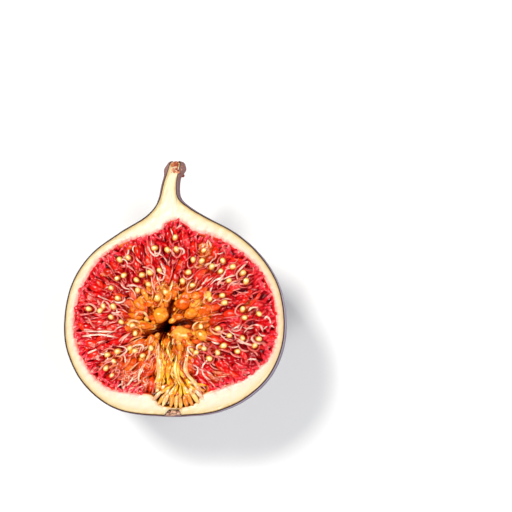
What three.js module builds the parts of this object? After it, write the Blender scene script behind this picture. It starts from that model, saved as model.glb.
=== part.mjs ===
// Half of a fresh purple fig, cut lengthwise a little in front of its own axis, lying on its rounded back.
// Millimetres. X runs across the fruit, Y from the eye at its blunt end to the stem, and Z up out of the cut.
// Two pieces: the rind, which is the purple skin, the cream flesh under it, the neck and the eye,
// and the pulp that fills it: red flesh whose cut face stands up in florets, seeds, folds and bracts.
import * as THREE from "three";
import { ConvexHull } from "three/addons/math/ConvexHull.js";

// The knife's edge on the skin, from the eye to the cut stem: [height Y, left X, right X].
const CUT_OUTLINE = [
  [0.0, -2.1, 2.1],
  [0.4, -8.0, 7.6],
  [1.3, -12.7, 11.6],
  [3.7, -17.5, 16.9],
  [8.5, -22.5, 22.5],
  [13.3, -25.2, 25.3],
  [18.2, -26.7, 26.7],
  [24.0, -26.9, 26.9],
  [30.3, -25.9, 25.8],
  [35.1, -23.9, 23.6],
  [40.0, -20.1, 19.9],
  [44.8, -13.5, 14.2],
  [48.5, -7.4, 7.4],
  [50.9, -5.0, 3.5],
  [53.3, -3.8, 0.9],
  [57.0, -2.9, 0.5],
  [60.0, -1.9, 1.1],
  [61.8, -1.4, 1.5],
];
// How far the fruit's axis lies behind the cut, in its body and in its stem, and the heights between them.
const AXIS_DEPTH = { body: 2.2, stem: 1.5, from: 46, to: 54 };
const DEPTH_SHARE = 0.96; // depth of the fruit over its width
const FLAT_SPOT_RADIUS = 6; // where its own weight presses the back flat
const OUTER_ROWS = 44;
const OUTER_COLUMNS = 48;

// Ribs run from the neck to the eye: [angle round the axis in degrees, height in mm].
const RIBS = [
  [5, 0.5],
  [22, 0.9],
  [39, 0.6],
  [56, 1.0],
  [74, 0.7],
  [91, 1.0],
  [109, 0.6],
  [126, 0.95],
  [143, 0.7],
  [159, 0.9],
  [175, 0.5],
];
const RIB_HALF_WIDTH = 5; // degrees
const RIB_TOP = 46; // height where the ribs stand out most
const RIB_FADE = 14; // distance over which they die away from there
const RIB_LEAST = 0.3; // share of their height that is left at the fruit's widest
const NECK = { end: 57, fade: 9, least: 0.2 }; // where they run out on the stem, and what is left of them

// The cut end of the stem is a knob with a few lumps round it.
const KNOB = { height: 60.4, reach: 1.2, swell: 0.5, lumps: 5, uneven: 0.6 };
const TIP = { ring: 0.6, dome: 0.7, middle: 0.49 }; // its end: place of the last ring, and rise of each point
const EYE = { depth: 1.3, ring: 0.55, button: 0.5 }; // recess, place of its inner ring, rise of its middle

// The pulp's edge on the cut face, clockwise from the tuft under the neck.
const PULP_OUTLINE = [
  [0.0, 47.6],
  [2.2, 46.8],
  [4.4, 44.9],
  [9.4, 43.5],
  [15.4, 40.0],
  [20.4, 35.4],
  [23.6, 29.4],
  [24.8, 21.8],
  [23.4, 15.0],
  [18.4, 9.8],
  [11.6, 6.8],
  [7.4, 5.2],
  [5.2, 2.9],
  [1.0, 1.9],
  [-3.2, 2.7],
  [-5.4, 5.0],
  [-9.6, 5.6],
  [-15.8, 7.0],
  [-20.8, 11.6],
  [-23.6, 17.4],
  [-24.4, 23.4],
  [-22.8, 31.0],
  [-18.4, 38.0],
  [-12.4, 42.2],
  [-6.8, 43.8],
  [-3.2, 45.2],
  [-1.8, 47.0],
];
const PULP_CENTRE = [-2.2, 21.8]; // the heart, which the florets point to
const PULP_DEPTH = 19.5; // how far the hollow that the pulp fills reaches behind the cut
const PULP_GAP = 0.3; // between the pulp and the wall of the rind
const RIM_POINTS = 132;
const HOLLOW_RINGS = 4;

// Clefts that run from the heart of the pulp: points on the cut face, then half width and depth.
const CLEFTS = [
  { path: [[-2.2, 21.8], [-6.4, 19.6], [-11.0, 17.2]], halfWidth: 0.9, depth: 2.6 },
  { path: [[-2.2, 21.8], [-0.9, 26.2], [-0.2, 30.6]], halfWidth: 0.9, depth: 2.4 },
  { path: [[-2.2, 21.8], [2.0, 22.6], [6.6, 22.2]], halfWidth: 0.8, depth: 2.2 },
  { path: [[-2.2, 21.8], [-3.4, 17.8], [-3.8, 14.4]], halfWidth: 0.8, depth: 1.8 },
];
const CLEFT_STEPS = 9;
const LIP = 0.7; // rise of a cleft's lips over the valleys
const CLEFT_FADE = { width: 0.5, depth: 0.75 }; // share of each that a cleft has lost at its end
// The hollow heart: its lip has 9 points and its floor 6, at the given shares of its radius and depth.
const HEART = { radius: 1.6, depth: 3.8, lip: 9, floor: 6, floorRadius: 0.5, floorDepth: 0.8 };

// Heights are over the cut face. A floret is a pod with a rounded back, and a seed sits on many of them.
const VALLEY = -1.6;
// Rows of florets: share of the way from the heart to the pulp's edge, how many, and share that shows a seed.
const FLORET_ROWS = [
  [0.88, 52, 0.22],
  [0.75, 46, 0.45],
  [0.62, 38, 0.5],
  [0.49, 30, 0.5],
  [0.36, 20, 0.35],
];
const FLORET = { length: 3.7, radius: 0.95, smallest: 0.85, top: 0, uneven: 0.3, scatter: 0.25, twist: 0.35 };
const SEED = { long: 1.0, wide: 0.82, top: 0.9, sink: 0.2, sides: 6, along: 0.14 };
const SEEDLESS = { middle: -2.5, aside: 11, below: 14 }; // beside the throat no floret shows its seed
const LUMPS = { count: 40, inner: 2.8, outer: 8.8, scatter: 0.4, smallest: 1, largest: 1.7 };
const LUMP = { top: 0.1, sides: 6 };
const LUMP_CLEAR = { cleft: 0.7, lump: 0.8 }; // shares of their radii, from clefts and from each other
const GRAIN = { spacing: 1.15, scatter: 0.3, clear: 0.75 }; // fills the places that nothing else has taken

// The great amber lumps round the heart: [X, Y, half length, half width, heading].
const GREAT_LUMPS = [
  [-3.3, 24.5, 2.1, 1.9, 0.3],
  [-7.0, 21.8, 1.9, 0.85, -0.15],
  [-5.9, 27.4, 1.1, 0.9, 0.5],
  [-4.0, 28.6, 1.2, 0.95, 1.2],
  [-1.4, 29.6, 1.25, 1.0, 1.5],
  [-5.7, 18.2, 1.7, 0.9, 1.35],
  [2.2, 27.4, 2.1, 1.7, 0.4],
  [5.2, 29.0, 1.25, 1.1, 0.0],
  [8.2, 29.2, 1.1, 0.95, 0.9],
  [7.6, 25.5, 1.8, 1.4, 0.7],
  [4.2, 24.8, 1.8, 1.3, 0.2],
  [1.7, 19.7, 2.4, 2.1, 0.1],
  [6.9, 19.4, 1.7, 1.3, -0.5],
  [1.0, 23.9, 1.2, 0.8, 0.1],
  [-8.6, 25.2, 1.4, 0.9, -0.3],
];
const GREAT_LUMP = { sides: 9, top: 0.15, rise: 0.15 }; // a broader lump stands higher

// The amber throat that leads from the heart to the eye, in folds, and its fan of bracts.
const THROAT = { top: [-1.6, 18.4], foot: [0.9, 7.6], halfWidth: 2.8, folds: 5, radius: 0.5, height: 0 };
const THROAT_SPREAD = { top: 1.3, foot: 0.7, margin: 0.8 }; // its folds' in half widths, and mm round them
const THROAT_UNEVEN = { length: 0.8, height: 0.2 };
const FAN = {
  root: [1.0, 8.4], // where the bracts spring from
  bracts: 8,
  radius: 0.5,
  length: 6.2,
  aside: 1.1, // share of that length for a bract that points sideways
  ahead: 0.8, // and for one that points to the eye
  middle: 0.55, // share of its length from the root to its middle
  from: -172, // degrees
  to: -8,
  spread: 1.9, // width of the fan over the throat's
  rise: 1.5, // how far above the root it has that width
};

const CLOSEST = 0.36; // least distance between two points of the pulp's face
const RIM_CLEAR = 0.7; // distance that its relief keeps from the pulp's edge
const GOLDEN_ANGLE = Math.PI * (3 - Math.sqrt(5));
const DEGREE = Math.PI / 180;
const RANDOM_START = 2791;

// A small linear congruential generator, so that the same fig grows every time.
let randomState = RANDOM_START;
function random() {
  randomState = (Math.imul(randomState, 1664525) + 1013904223) >>> 0;
  return randomState / 4294967296;
}
function either() {
  return 2 * random() - 1;
}

// A closed mesh collects points and triangles; a grid stitches two neighbouring rows of points together.
class Shell {
  constructor() {
    this.points = [];
    this.faces = [];
  }
  add(point) {
    return this.points.push(point) - 1;
  }
  stitch(rowA, rowB, closed) {
    const last = closed ? rowA.length : rowA.length - 1;
    for (let i = 0; i < last; i++) {
      const j = (i + 1) % rowA.length;
      this.faces.push([rowA[i], rowA[j], rowB[j]], [rowA[i], rowB[j], rowB[i]]);
    }
  }
  fan(centre, rim) {
    rim.forEach((id, i) => this.faces.push([centre, id, rim[(i + 1) % rim.length]]));
  }
  geometry() {
    const made = new THREE.BufferGeometry().setFromPoints(this.points);
    made.setIndex(this.faces.flat());
    made.computeVertexNormals();
    return made;
  }
}

// Outer surface

function ribHeight(angle, height) {
  const strength = RIB_LEAST + (1 - RIB_LEAST) * Math.exp(-(((height - RIB_TOP) / RIB_FADE) ** 2));
  const atNeck = THREE.MathUtils.clamp((NECK.end - height) / NECK.fade, NECK.least, 1);
  const rise = ([centre, tall]) => tall * Math.exp(-(((angle / DEGREE - centre) / RIB_HALF_WIDTH) ** 2));
  return strength * atNeck * RIBS.reduce((sum, rib) => sum + rise(rib), 0);
}

function knobSwell(angle, height) {
  const lumpy = 1 + KNOB.uneven * Math.cos(KNOB.lumps * angle);
  return KNOB.swell * lumpy * Math.exp(-(((height - KNOB.height) / KNOB.reach) ** 2));
}

function axisDepth(height) {
  const share = THREE.MathUtils.smoothstep(height, AXIS_DEPTH.from, AXIS_DEPTH.to);
  return THREE.MathUtils.lerp(AXIS_DEPTH.body, AXIS_DEPTH.stem, share);
}

// Each row is the arc of skin at one height, from the knife's edge on the right round the back to the left.
function outerRow(left, height, right) {
  const middle = (left + right) / 2;
  const behind = axisDepth(height);
  const radius = Math.hypot((right - left) / 2, behind / DEPTH_SHARE);
  const overlap = Math.asin(behind / DEPTH_SHARE / radius);
  const row = [];
  for (let i = 0; i <= OUTER_COLUMNS; i++) {
    const angle = -overlap + (Math.PI + 2 * overlap) * (i / OUTER_COLUMNS);
    const onCut = i === 0 || i === OUTER_COLUMNS;
    const reach = onCut ? radius : radius + ribHeight(angle, height) + knobSwell(angle, height);
    const depth = onCut ? 0 : Math.max(0, behind + DEPTH_SHARE * reach * Math.sin(angle));
    row.push(new THREE.Vector3(middle + reach * Math.cos(angle), height, -depth));
  }
  return row;
}

function outerRows() {
  const sides = CUT_OUTLINE.map(([y, left, right]) => new THREE.Vector3(left, y, right));
  const edge = new THREE.CatmullRomCurve3(sides);
  return edge.getSpacedPoints(OUTER_ROWS).map((p) => outerRow(p.x, p.y, p.z));
}

// A row drawn in towards the fruit's axis and moved along it, to close an end.
function drawnIn(row, share, shift) {
  const axis = new THREE.Vector3((row[0].x + row.at(-1).x) / 2, row[0].y + shift, -axisDepth(row[0].y));
  return row.map((p) => new THREE.Vector3(p.x, p.y + shift, p.z).lerp(axis, 1 - share));
}

function axisPoint(row, shift) {
  return drawnIn([row[0], row.at(-1)], 0, shift)[0];
}

// The pulp's outline as a ring of evenly spaced points, moved in from the wall by a gap

const pulpCorners = PULP_OUTLINE.map(([x, y]) => new THREE.Vector3(x, y, 0));
const pulpCurve = new THREE.CatmullRomCurve3(pulpCorners, true);

function pulpRim(inset) {
  const rim = [];
  for (let i = 0; i < RIM_POINTS; i++) {
    const { x, y } = pulpCurve.getPointAt(i / RIM_POINTS);
    const along = pulpCurve.getTangentAt(i / RIM_POINTS);
    rim.push(new THREE.Vector3(x + inset * along.y, y - inset * along.x, 0));
  }
  return rim.reverse();
}

// The wall of the hollow: a ring of points at each depth, from the cut face down to its floor.
function hollowRings(inset) {
  const middle = new THREE.Vector3(...PULP_CENTRE, 0);
  const rim = pulpRim(inset);
  return Array.from({ length: HOLLOW_RINGS }, (_, k) => {
    const slope = (k / HOLLOW_RINGS) * (Math.PI / 2);
    const depth = (PULP_DEPTH - inset) * Math.sin(slope);
    return rim.map((p) => p.clone().lerp(middle, 1 - Math.cos(slope)).setZ(-depth));
  });
}

// Rind

function makeRind() {
  const shell = new Shell();
  const addAll = (row) => row.map((p) => shell.add(p));
  const arcs = outerRows();
  const rows = arcs.map(addAll);
  rows.slice(1).forEach((row, k) => shell.stitch(rows[k], row, false));

  const eyeRing = addAll(drawnIn(arcs[0], EYE.ring, EYE.depth));
  shell.stitch(eyeRing, rows[0], true);
  shell.fan(shell.add(axisPoint(arcs[0], EYE.depth - EYE.button)), [...eyeRing].reverse());
  const stemRing = addAll(drawnIn(arcs.at(-1), TIP.ring, TIP.dome));
  shell.stitch(rows.at(-1), stemRing, true);
  shell.fan(shell.add(axisPoint(arcs.at(-1), TIP.middle)), stemRing);

  const rings = hollowRings(0).map(addAll);
  rings.slice(1).forEach((ring, k) => shell.stitch(rings[k], ring, true));
  shell.fan(shell.add(new THREE.Vector3(...PULP_CENTRE, -PULP_DEPTH)), rings.at(-1));

  const outline = [...rows.map((row) => row[0]), ...rows.map((row) => row.at(-1)).reverse()];
  const flat = (ids) => ids.map((id) => new THREE.Vector2(shell.points[id].x, shell.points[id].y));
  const ids = [...outline, ...rings[0]];
  const cutFaces = THREE.ShapeUtils.triangulateShape(flat(outline), [flat(rings[0])]);
  const turned = THREE.ShapeUtils.area(flat(cutFaces[0].map((i) => ids[i]))) < 0;
  for (const [a, b, c] of cutFaces) shell.faces.push((turned ? [a, c, b] : [a, b, c]).map((i) => ids[i]));
  return shell;
}

// Pulp

// The pulp's face is a field of points, each with its height over the cut face.
// An earlier piece keeps its patch of the field, and a later point that would crowd it is left out.
const pulpEdge = pulpRim(PULP_GAP);
const field = [];
const patches = [];

function near(points, x, y, distance) {
  return points.some((p) => Math.hypot(p.x - x, p.y - y) < distance);
}

// Place of a point seen from an oval's middle, as shares of the oval's half length and half width.
function onOval({ x, y, long, wide, heading }, px, py) {
  const along = (px - x) * Math.cos(heading) + (py - y) * Math.sin(heading);
  const across = (py - y) * Math.cos(heading) - (px - x) * Math.sin(heading);
  return Math.hypot(along / long, across / wide);
}

function put(x, y, z) {
  const taken = patches.some((patch) => onOval(patch, x, y) < 1) || near(field, x, y, CLOSEST);
  if (taken || near(pulpEdge, x, y, RIM_CLEAR) || !inside(x, y, pulpEdge)) return;
  field.push(new THREE.Vector3(x, y, z));
}

function ringOf({ x, y, long, wide, heading }, size, count, z, turn = 0) {
  for (let i = 0; i < count; i++) {
    const angle = turn + (i / count) * 2 * Math.PI;
    const along = size * long * Math.cos(angle);
    const across = size * wide * Math.sin(angle);
    const px = x + along * Math.cos(heading) - across * Math.sin(heading);
    put(px, y + along * Math.sin(heading) + across * Math.cos(heading), z);
  }
}

// A point is inside an outline if a line from it to the right crosses the outline an odd number of times.
function inside(x, y, outline) {
  const crossings = outline.filter((a, i) => {
    const b = outline[(i + 1) % outline.length];
    return a.y > y !== b.y > y && x < a.x + ((b.x - a.x) * (y - a.y)) / (b.y - a.y);
  });
  return crossings.length % 2 === 1;
}

// How far the pulp reaches from its heart in one direction.
function pulpReach(angle) {
  const turnTo = (p) => Math.cos(angle - Math.atan2(p.y - PULP_CENTRE[1], p.x - PULP_CENTRE[0]));
  const edge = pulpEdge.reduce((best, p) => (turnTo(p) > turnTo(best) ? p : best));
  return Math.hypot(edge.x - PULP_CENTRE[0], edge.y - PULP_CENTRE[1]);
}

// A dome is a rounded lump, such as a seed, that stands on its own oval patch of the field.
const DOME_RING = { size: 0.62, fall: 0.25 }; // where a dome's back turns down, and how far below its top

function dome(shape) {
  const { x, y, long, wide, top, foot, sides } = shape;
  const turn = 2 * Math.PI * random();
  put(x, y, top);
  ringOf(shape, DOME_RING.size, sides, top - DOME_RING.fall * wide, turn);
  ringOf(shape, 1, sides, foot, turn + Math.PI / sides);
  patches.push({ ...shape, long: long + 0.5 * CLOSEST, wide: wide + 0.5 * CLOSEST });
}

// A ridge is a slim raised strip with a rounded back: [place along it, width share, height share].
const RIDGE = [
  [-0.5, 0, 0],
  [-0.24, 0.75, 0.7],
  [0.06, 1, 1],
  [0.3, 0.8, 0.8],
  [0.5, 0, 0],
];

function ridgePoint({ x, y, length, heading }, along, across) {
  const out = along * length;
  const cos = Math.cos(heading);
  const sin = Math.sin(heading);
  return [x + out * cos - across * sin, y + out * sin + across * cos];
}

const SHOULDERS = { place: 0.55, height: 0.72 }; // of its back, as shares of half width and of rise

function ridgeBack(ridge) {
  for (const [along, width, height] of RIDGE) {
    put(...ridgePoint(ridge, along, 0), THREE.MathUtils.lerp(VALLEY, ridge.top, height));
    if (width === 0) continue;
    const shoulder = THREE.MathUtils.lerp(VALLEY, ridge.top, height * SHOULDERS.height);
    for (const side of [-1, 1]) {
      put(...ridgePoint(ridge, along, side * SHOULDERS.place * width * ridge.radius), shoulder);
    }
  }
}

function ridgeSides(ridge, others) {
  for (const [along, width] of RIDGE.slice(1, -1)) {
    for (const side of [-1, 1]) {
      const [x, y] = ridgePoint(ridge, along, side * width * ridge.radius);
      if (!others.some((other) => other !== ridge && onRidge(other, x, y))) put(x, y, VALLEY);
    }
  }
}

const RIDGE_COVER = 0.85; // share of a ridge's oval that no other ridge's side may enter

function onRidge({ x, y, length, radius, heading }, px, py) {
  return onOval({ x, y, long: 0.5 * length, wide: radius, heading }, px, py) < RIDGE_COVER;
}

function inThroat(x, y) {
  if (y > THROAT.top[1]) return false;
  const spread = y < FAN.root[1] + FAN.rise ? FAN.spread : 1;
  const share = Math.min(1, (THROAT.top[1] - y) / (THROAT.top[1] - THROAT.foot[1]));
  const middle = THREE.MathUtils.lerp(THROAT.top[0], THROAT.foot[0], share);
  return Math.abs(x - middle) < THROAT.halfWidth * spread + THROAT_SPREAD.margin;
}

// Florets stand in rows round the heart, each a pod that points to it, and many show their seed.
function growFlorets() {
  const pods = [];
  const seeds = [];
  FLORET_ROWS.forEach(([share, count, withSeed], row) => {
    for (let i = 0; i < count; i++) {
      const angle = ((i + 0.5 * (row % 2) + FLORET.scatter * either()) / count) * 2 * Math.PI;
      const reach = (share + 0.02 * either()) * pulpReach(angle);
      const x = PULP_CENTRE[0] + reach * Math.cos(angle);
      const y = PULP_CENTRE[1] + reach * Math.sin(angle);
      const heading = angle + Math.PI + FLORET.twist * either();
      const size = FLORET.smallest + FLORET.uneven * random();
      const top = FLORET.top + FLORET.uneven * either();
      const seedless = y < SEEDLESS.below && Math.abs(x - SEEDLESS.middle) < SEEDLESS.aside;
      const showsSeed = random() < withSeed && !seedless;
      if (inThroat(x, y)) continue;
      const pod = { x, y, heading, top, length: FLORET.length * size, radius: FLORET.radius * size };
      pods.push(pod);
      const [seedX, seedY] = ridgePoint(pod, SEED.along, 0);
      if (showsSeed) seeds.push({ ...SEED, x: seedX, y: seedY, heading, foot: top - SEED.sink });
    }
  });
  return { pods, seeds };
}

// Smaller amber lumps crowd round the heart on a spiral, clear of the clefts and of the great ones.
function growLumps() {
  const great = GREAT_LUMPS.map(([x, y, long, wide, heading]) => {
    const top = GREAT_LUMP.top + GREAT_LUMP.rise * (wide - 1);
    return { ...GREAT_LUMP, x, y, long, wide, heading, top, foot: VALLEY };
  });
  const lumps = [];
  for (let i = 0; i < LUMPS.count; i++) {
    const angle = i * GOLDEN_ANGLE + LUMPS.scatter * either();
    const reach = LUMPS.inner + (LUMPS.outer - LUMPS.inner) * Math.sqrt(i / LUMPS.count);
    const radius = THREE.MathUtils.lerp(LUMPS.smallest, LUMPS.largest, random());
    const x = PULP_CENTRE[0] + reach * Math.cos(angle);
    const y = PULP_CENTRE[1] + reach * Math.sin(angle);
    const clear = CLEFTS.every(({ path }) => distanceToPath(x, y, path) > LUMP_CLEAR.cleft * radius);
    const away = (other) => Math.hypot(other.x - x, other.y - y) / (other.long + radius);
    if (clear && [...great, ...lumps].every((other) => away(other) > LUMP_CLEAR.lump)) {
      lumps.push({ ...LUMP, x, y, long: radius, wide: radius, heading: 0, foot: VALLEY });
    }
  }
  return [...great, ...lumps];
}

// Long folds run down the throat, and bracts fan out from its foot round the eye.
function growThroat() {
  const ridges = [];
  for (let i = 0; i < THROAT.folds; i++) {
    const aside = THROAT.halfWidth * ((2 * i) / (THROAT.folds - 1) - 1);
    const from = new THREE.Vector2(...THROAT.top);
    from.x += THROAT_SPREAD.top * aside;
    from.y += THROAT_UNEVEN.length * either();
    const to = new THREE.Vector2(...THROAT.foot);
    to.x += THROAT_SPREAD.foot * aside;
    const run = to.clone().sub(from);
    const { x, y } = from.add(to).multiplyScalar(0.5);
    const top = THROAT.height + THROAT_UNEVEN.height * either();
    ridges.push({ x, y, length: run.length(), heading: run.angle(), radius: THROAT.radius, top });
  }
  for (let i = 0; i < FAN.bracts; i++) {
    const heading = THREE.MathUtils.lerp(FAN.from, FAN.to, i / (FAN.bracts - 1)) * DEGREE;
    const length = FAN.length * (FAN.aside - (FAN.aside - FAN.ahead) * Math.abs(Math.sin(heading)));
    const x = FAN.root[0] + FAN.middle * length * Math.cos(heading);
    const y = FAN.root[1] + FAN.middle * length * Math.sin(heading);
    ridges.push({ x, y, heading, length, radius: FAN.radius, top: THROAT.height });
  }
  return ridges;
}

function distanceToPath(x, y, path) {
  const here = new THREE.Vector3(x, y, 0);
  const distances = path.slice(1).map((end, i) => {
    const line = new THREE.Line3(new THREE.Vector3(...path[i], 0), new THREE.Vector3(...end, 0));
    return line.closestPointToPoint(here, true, new THREE.Vector3()).distanceTo(here);
  });
  return Math.min(...distances);
}

// A cleft is a line of low points, shallower as it runs out, between two lines of points on its lips.
function cutCleft({ path, halfWidth, depth }) {
  const line = new THREE.CatmullRomCurve3(path.map(([x, y]) => new THREE.Vector3(x, y, 0)));
  for (let i = 1; i <= CLEFT_STEPS; i++) {
    const share = i / CLEFT_STEPS;
    const { x, y } = line.getPointAt(share);
    const along = line.getTangentAt(share);
    const width = halfWidth * (1 - CLEFT_FADE.width * share);
    put(x, y, VALLEY - depth * (1 - CLEFT_FADE.depth * share));
    put(x - width * along.y, y + width * along.x, VALLEY + LIP);
    put(x + width * along.y, y - width * along.x, VALLEY + LIP);
  }
}

// Grains of uneven height fill the places between the other pieces.
function scatterGrains() {
  const xs = pulpEdge.map((p) => p.x);
  const ys = pulpEdge.map((p) => p.y);
  for (let x = Math.min(...xs); x < Math.max(...xs); x += GRAIN.spacing) {
    for (let y = Math.min(...ys); y < Math.max(...ys); y += GRAIN.spacing) {
      const at = [x + GRAIN.scatter * either(), y + GRAIN.scatter * either()];
      const z = THREE.MathUtils.lerp(VALLEY, FLORET.top, random());
      if (!near(field, ...at, GRAIN.clear * GRAIN.spacing)) put(...at, z);
    }
  }
}

// Triangles between the points with none of the other points inside any triangle's circle:
// lifted onto a bowl, they are the underside of the points' convex hull.
function triangulate(points) {
  const lifted = points.map(({ x, y }) => new THREE.Vector3(x, y, x * x + (y - PULP_CENTRE[1]) ** 2));
  const order = new Map(lifted.map((p, i) => [p, i]));
  const below = new ConvexHull().setFromPoints(lifted).faces.filter((face) => face.normal.z < 0);
  return below.map(({ edge }) => [edge, edge.prev, edge.next].map((e) => order.get(e.head().point)));
}

function makePulp() {
  const shell = new Shell();
  const rings = hollowRings(PULP_GAP).map((ring) => ring.map((p) => shell.add(p)));
  rings.slice(1).forEach((ring, k) => shell.stitch(ring, rings[k], true));
  const floor = shell.add(new THREE.Vector3(...PULP_CENTRE, PULP_GAP - PULP_DEPTH));
  shell.fan(floor, [...rings.at(-1)].reverse());

  const [x, y] = PULP_CENTRE;
  const heart = { x, y, long: HEART.radius, wide: HEART.radius, heading: 0 };
  put(...PULP_CENTRE, VALLEY - HEART.depth);
  ringOf(heart, HEART.floorRadius, HEART.floor, VALLEY - HEART.floorDepth * HEART.depth);
  CLEFTS.forEach(cutCleft);
  ringOf(heart, 1, HEART.lip, VALLEY + LIP);
  const { pods, seeds } = growFlorets();
  const ridges = [...growThroat(), ...pods];
  for (const lump of [...seeds, ...growLumps()]) dome(lump);
  for (const ridge of ridges) ridgeBack(ridge);
  for (const ridge of ridges) ridgeSides(ridge, ridges);
  scatterGrains();

  const points = [...pulpEdge, ...field];
  const ids = [...rings[0], ...field.map((p) => shell.add(p))];
  for (const face of triangulate(points)) {
    const middle = new THREE.Triangle(...face.map((i) => points[i])).getMidpoint(new THREE.Vector3());
    if (inside(middle.x, middle.y, pulpEdge)) shell.faces.push(face.map((i) => ids[i]));
  }
  return shell;
}

// The fruit's weight presses the lowest part of its back flat.
function pressFlat(shell) {
  const deepest = Math.min(...shell.points.map((p) => p.z));
  const radius = Math.max(...CUT_OUTLINE.map(([, left, right]) => (right - left) / 2));
  const pressed = radius - Math.sqrt(radius ** 2 - FLAT_SPOT_RADIUS ** 2);
  for (const point of shell.points) point.z = Math.max(point.z, deepest + pressed);
  return shell;
}

function mesh(name, geometry, color, roughness) {
  const made = new THREE.Mesh(geometry, new THREE.MeshStandardMaterial({ color, roughness, metalness: 0 }));
  made.name = name;
  return made;
}

const rind = mesh("rind", pressFlat(makeRind()).geometry(), 0x5b4057, 0.45);
const pulp = mesh("pulp", makePulp().geometry(), 0xc21420, 0.25);

// The origin is under the middle of the fruit, on the surface that it lies on.
const fig = new THREE.Group();
fig.add(rind, pulp);
const bounds = new THREE.Box3().setFromObject(fig);
const centre = bounds.getCenter(new THREE.Vector3());
fig.position.set(-centre.x, -centre.y, -bounds.min.z);
const part = new THREE.Group();
part.add(fig);

export default part;
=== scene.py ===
import math
from functools import partial

import bmesh
import bpy
import numpy as np
from mathutils import Matrix, Vector


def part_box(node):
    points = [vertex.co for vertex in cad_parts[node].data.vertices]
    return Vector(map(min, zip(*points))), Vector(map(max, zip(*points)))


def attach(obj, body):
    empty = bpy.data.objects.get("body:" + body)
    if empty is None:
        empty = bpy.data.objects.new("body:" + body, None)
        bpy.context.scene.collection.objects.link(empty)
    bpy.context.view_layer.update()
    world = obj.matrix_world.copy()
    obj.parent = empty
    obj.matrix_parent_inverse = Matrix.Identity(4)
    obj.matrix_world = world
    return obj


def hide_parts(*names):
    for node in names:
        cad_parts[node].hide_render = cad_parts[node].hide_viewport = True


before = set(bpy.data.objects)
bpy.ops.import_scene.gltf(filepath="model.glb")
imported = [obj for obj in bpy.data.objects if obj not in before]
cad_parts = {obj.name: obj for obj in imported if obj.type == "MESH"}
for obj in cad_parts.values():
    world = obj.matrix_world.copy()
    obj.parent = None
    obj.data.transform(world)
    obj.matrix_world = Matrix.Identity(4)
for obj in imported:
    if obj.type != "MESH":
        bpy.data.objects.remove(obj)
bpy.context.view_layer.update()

MM = 0.001
rind_low, rind_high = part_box("rind")
FIG_ORIGIN = np.array([(rind_low.x + rind_high.x) / 2, rind_low.y, rind_high.z])  # metres

# The same driving dimensions as in the part's source.
CUT_OUTLINE = [
    [0.0, -2.1, 2.1], [0.4, -8.0, 7.6], [1.3, -12.7, 11.6], [3.7, -17.5, 16.9], [8.5, -22.5, 22.5],
    [13.3, -25.2, 25.3], [18.2, -26.7, 26.7], [24.0, -26.9, 26.9], [30.3, -25.9, 25.8], [35.1, -23.9, 23.6],
    [40.0, -20.1, 19.9], [44.8, -13.5, 14.2], [48.5, -7.4, 7.4], [50.9, -5.0, 3.5], [53.3, -3.8, 0.9],
    [57.0, -2.9, 0.5], [60.0, -1.9, 1.1], [61.8, -1.4, 1.5],
]  # height Y, left X, right X of the knife's edge on the skin
WIDEST = 26.9  # half width, which turns angles round the axis into millimetres
AXIS_DEPTH = {"body": 2.2, "stem": 1.5, "from": 46, "to": 54}
DEPTH_SHARE = 0.96
RIBS = [
    (5, 0.5), (22, 0.9), (39, 0.6), (56, 1.0), (74, 0.7), (91, 1.0), (109, 0.6), (126, 0.95), (143, 0.7),
    (159, 0.9), (175, 0.5),
]  # degrees round the axis, height
RIB_HALF_WIDTH = 5
RIB_TOP = 46
RIB_FADE = 14
RIB_LEAST = 0.3
KNOB = {"height": 60.4, "reach": 1.2, "swell": 0.5, "lumps": 5, "uneven": 0.6, "dome": 0.7}
EYE = {"depth": 1.3, "ring": 0.55, "button": 0.5}
PULP_OUTLINE = [
    [0.0, 47.6], [2.2, 46.8], [4.4, 44.9], [9.4, 43.5], [15.4, 40.0], [20.4, 35.4], [23.6, 29.4],
    [24.8, 21.8], [23.4, 15.0], [18.4, 9.8], [11.6, 6.8], [7.4, 5.2], [5.2, 2.9], [1.0, 1.9],
    [-3.2, 2.7], [-5.4, 5.0], [-9.6, 5.6], [-15.8, 7.0], [-20.8, 11.6], [-23.6, 17.4], [-24.4, 23.4],
    [-22.8, 31.0], [-18.4, 38.0], [-12.4, 42.2], [-6.8, 43.8], [-3.2, 45.2], [-1.8, 47.0],
]  # clockwise from the tuft under the neck
HEART = np.array([-2.2, 21.8])  # which the florets point to
HEART_RADIUS = 1.6
HEART_DEPTH = 3.8
PULP_DEPTH = 19.5
CLEFTS = [
    ([[-2.2, 21.8], [-6.4, 19.6], [-11.0, 17.2]], 2.6),
    ([[-2.2, 21.8], [-0.9, 26.2], [-0.2, 30.6]], 2.4),
    ([[-2.2, 21.8], [2.0, 22.6], [6.6, 22.2]], 2.2),
    ([[-2.2, 21.8], [-3.4, 17.8], [-3.8, 14.4]], 1.8),
]  # path on the cut, depth
VALLEY = -1.6
FLORET_ROWS = [(0.88, 52, 0.22), (0.75, 46, 0.45), (0.62, 38, 0.5), (0.49, 30, 0.5), (0.36, 20, 0.35)]
FLORET = {"length": 3.7, "radius": 0.95, "top": 0.0, "scatter": 0.25, "twist": 0.35}
SEED_ALONG = 0.14
SEEDLESS = {"middle": -2.5, "aside": 11, "below": 14}
LUMP = {"count": 40, "inner": 2.8, "outer": 8.8, "smallest": 1.0, "largest": 1.7}
THROAT = {"top": [-1.6, 18.4], "foot": [0.9, 7.6], "half_width": 2.8, "folds": 5}
FAN_ROOT = [1.0, 8.4]
GOLDEN_ANGLE = math.pi * (3 - math.sqrt(5))
RANDOM_START = 2791

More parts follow.
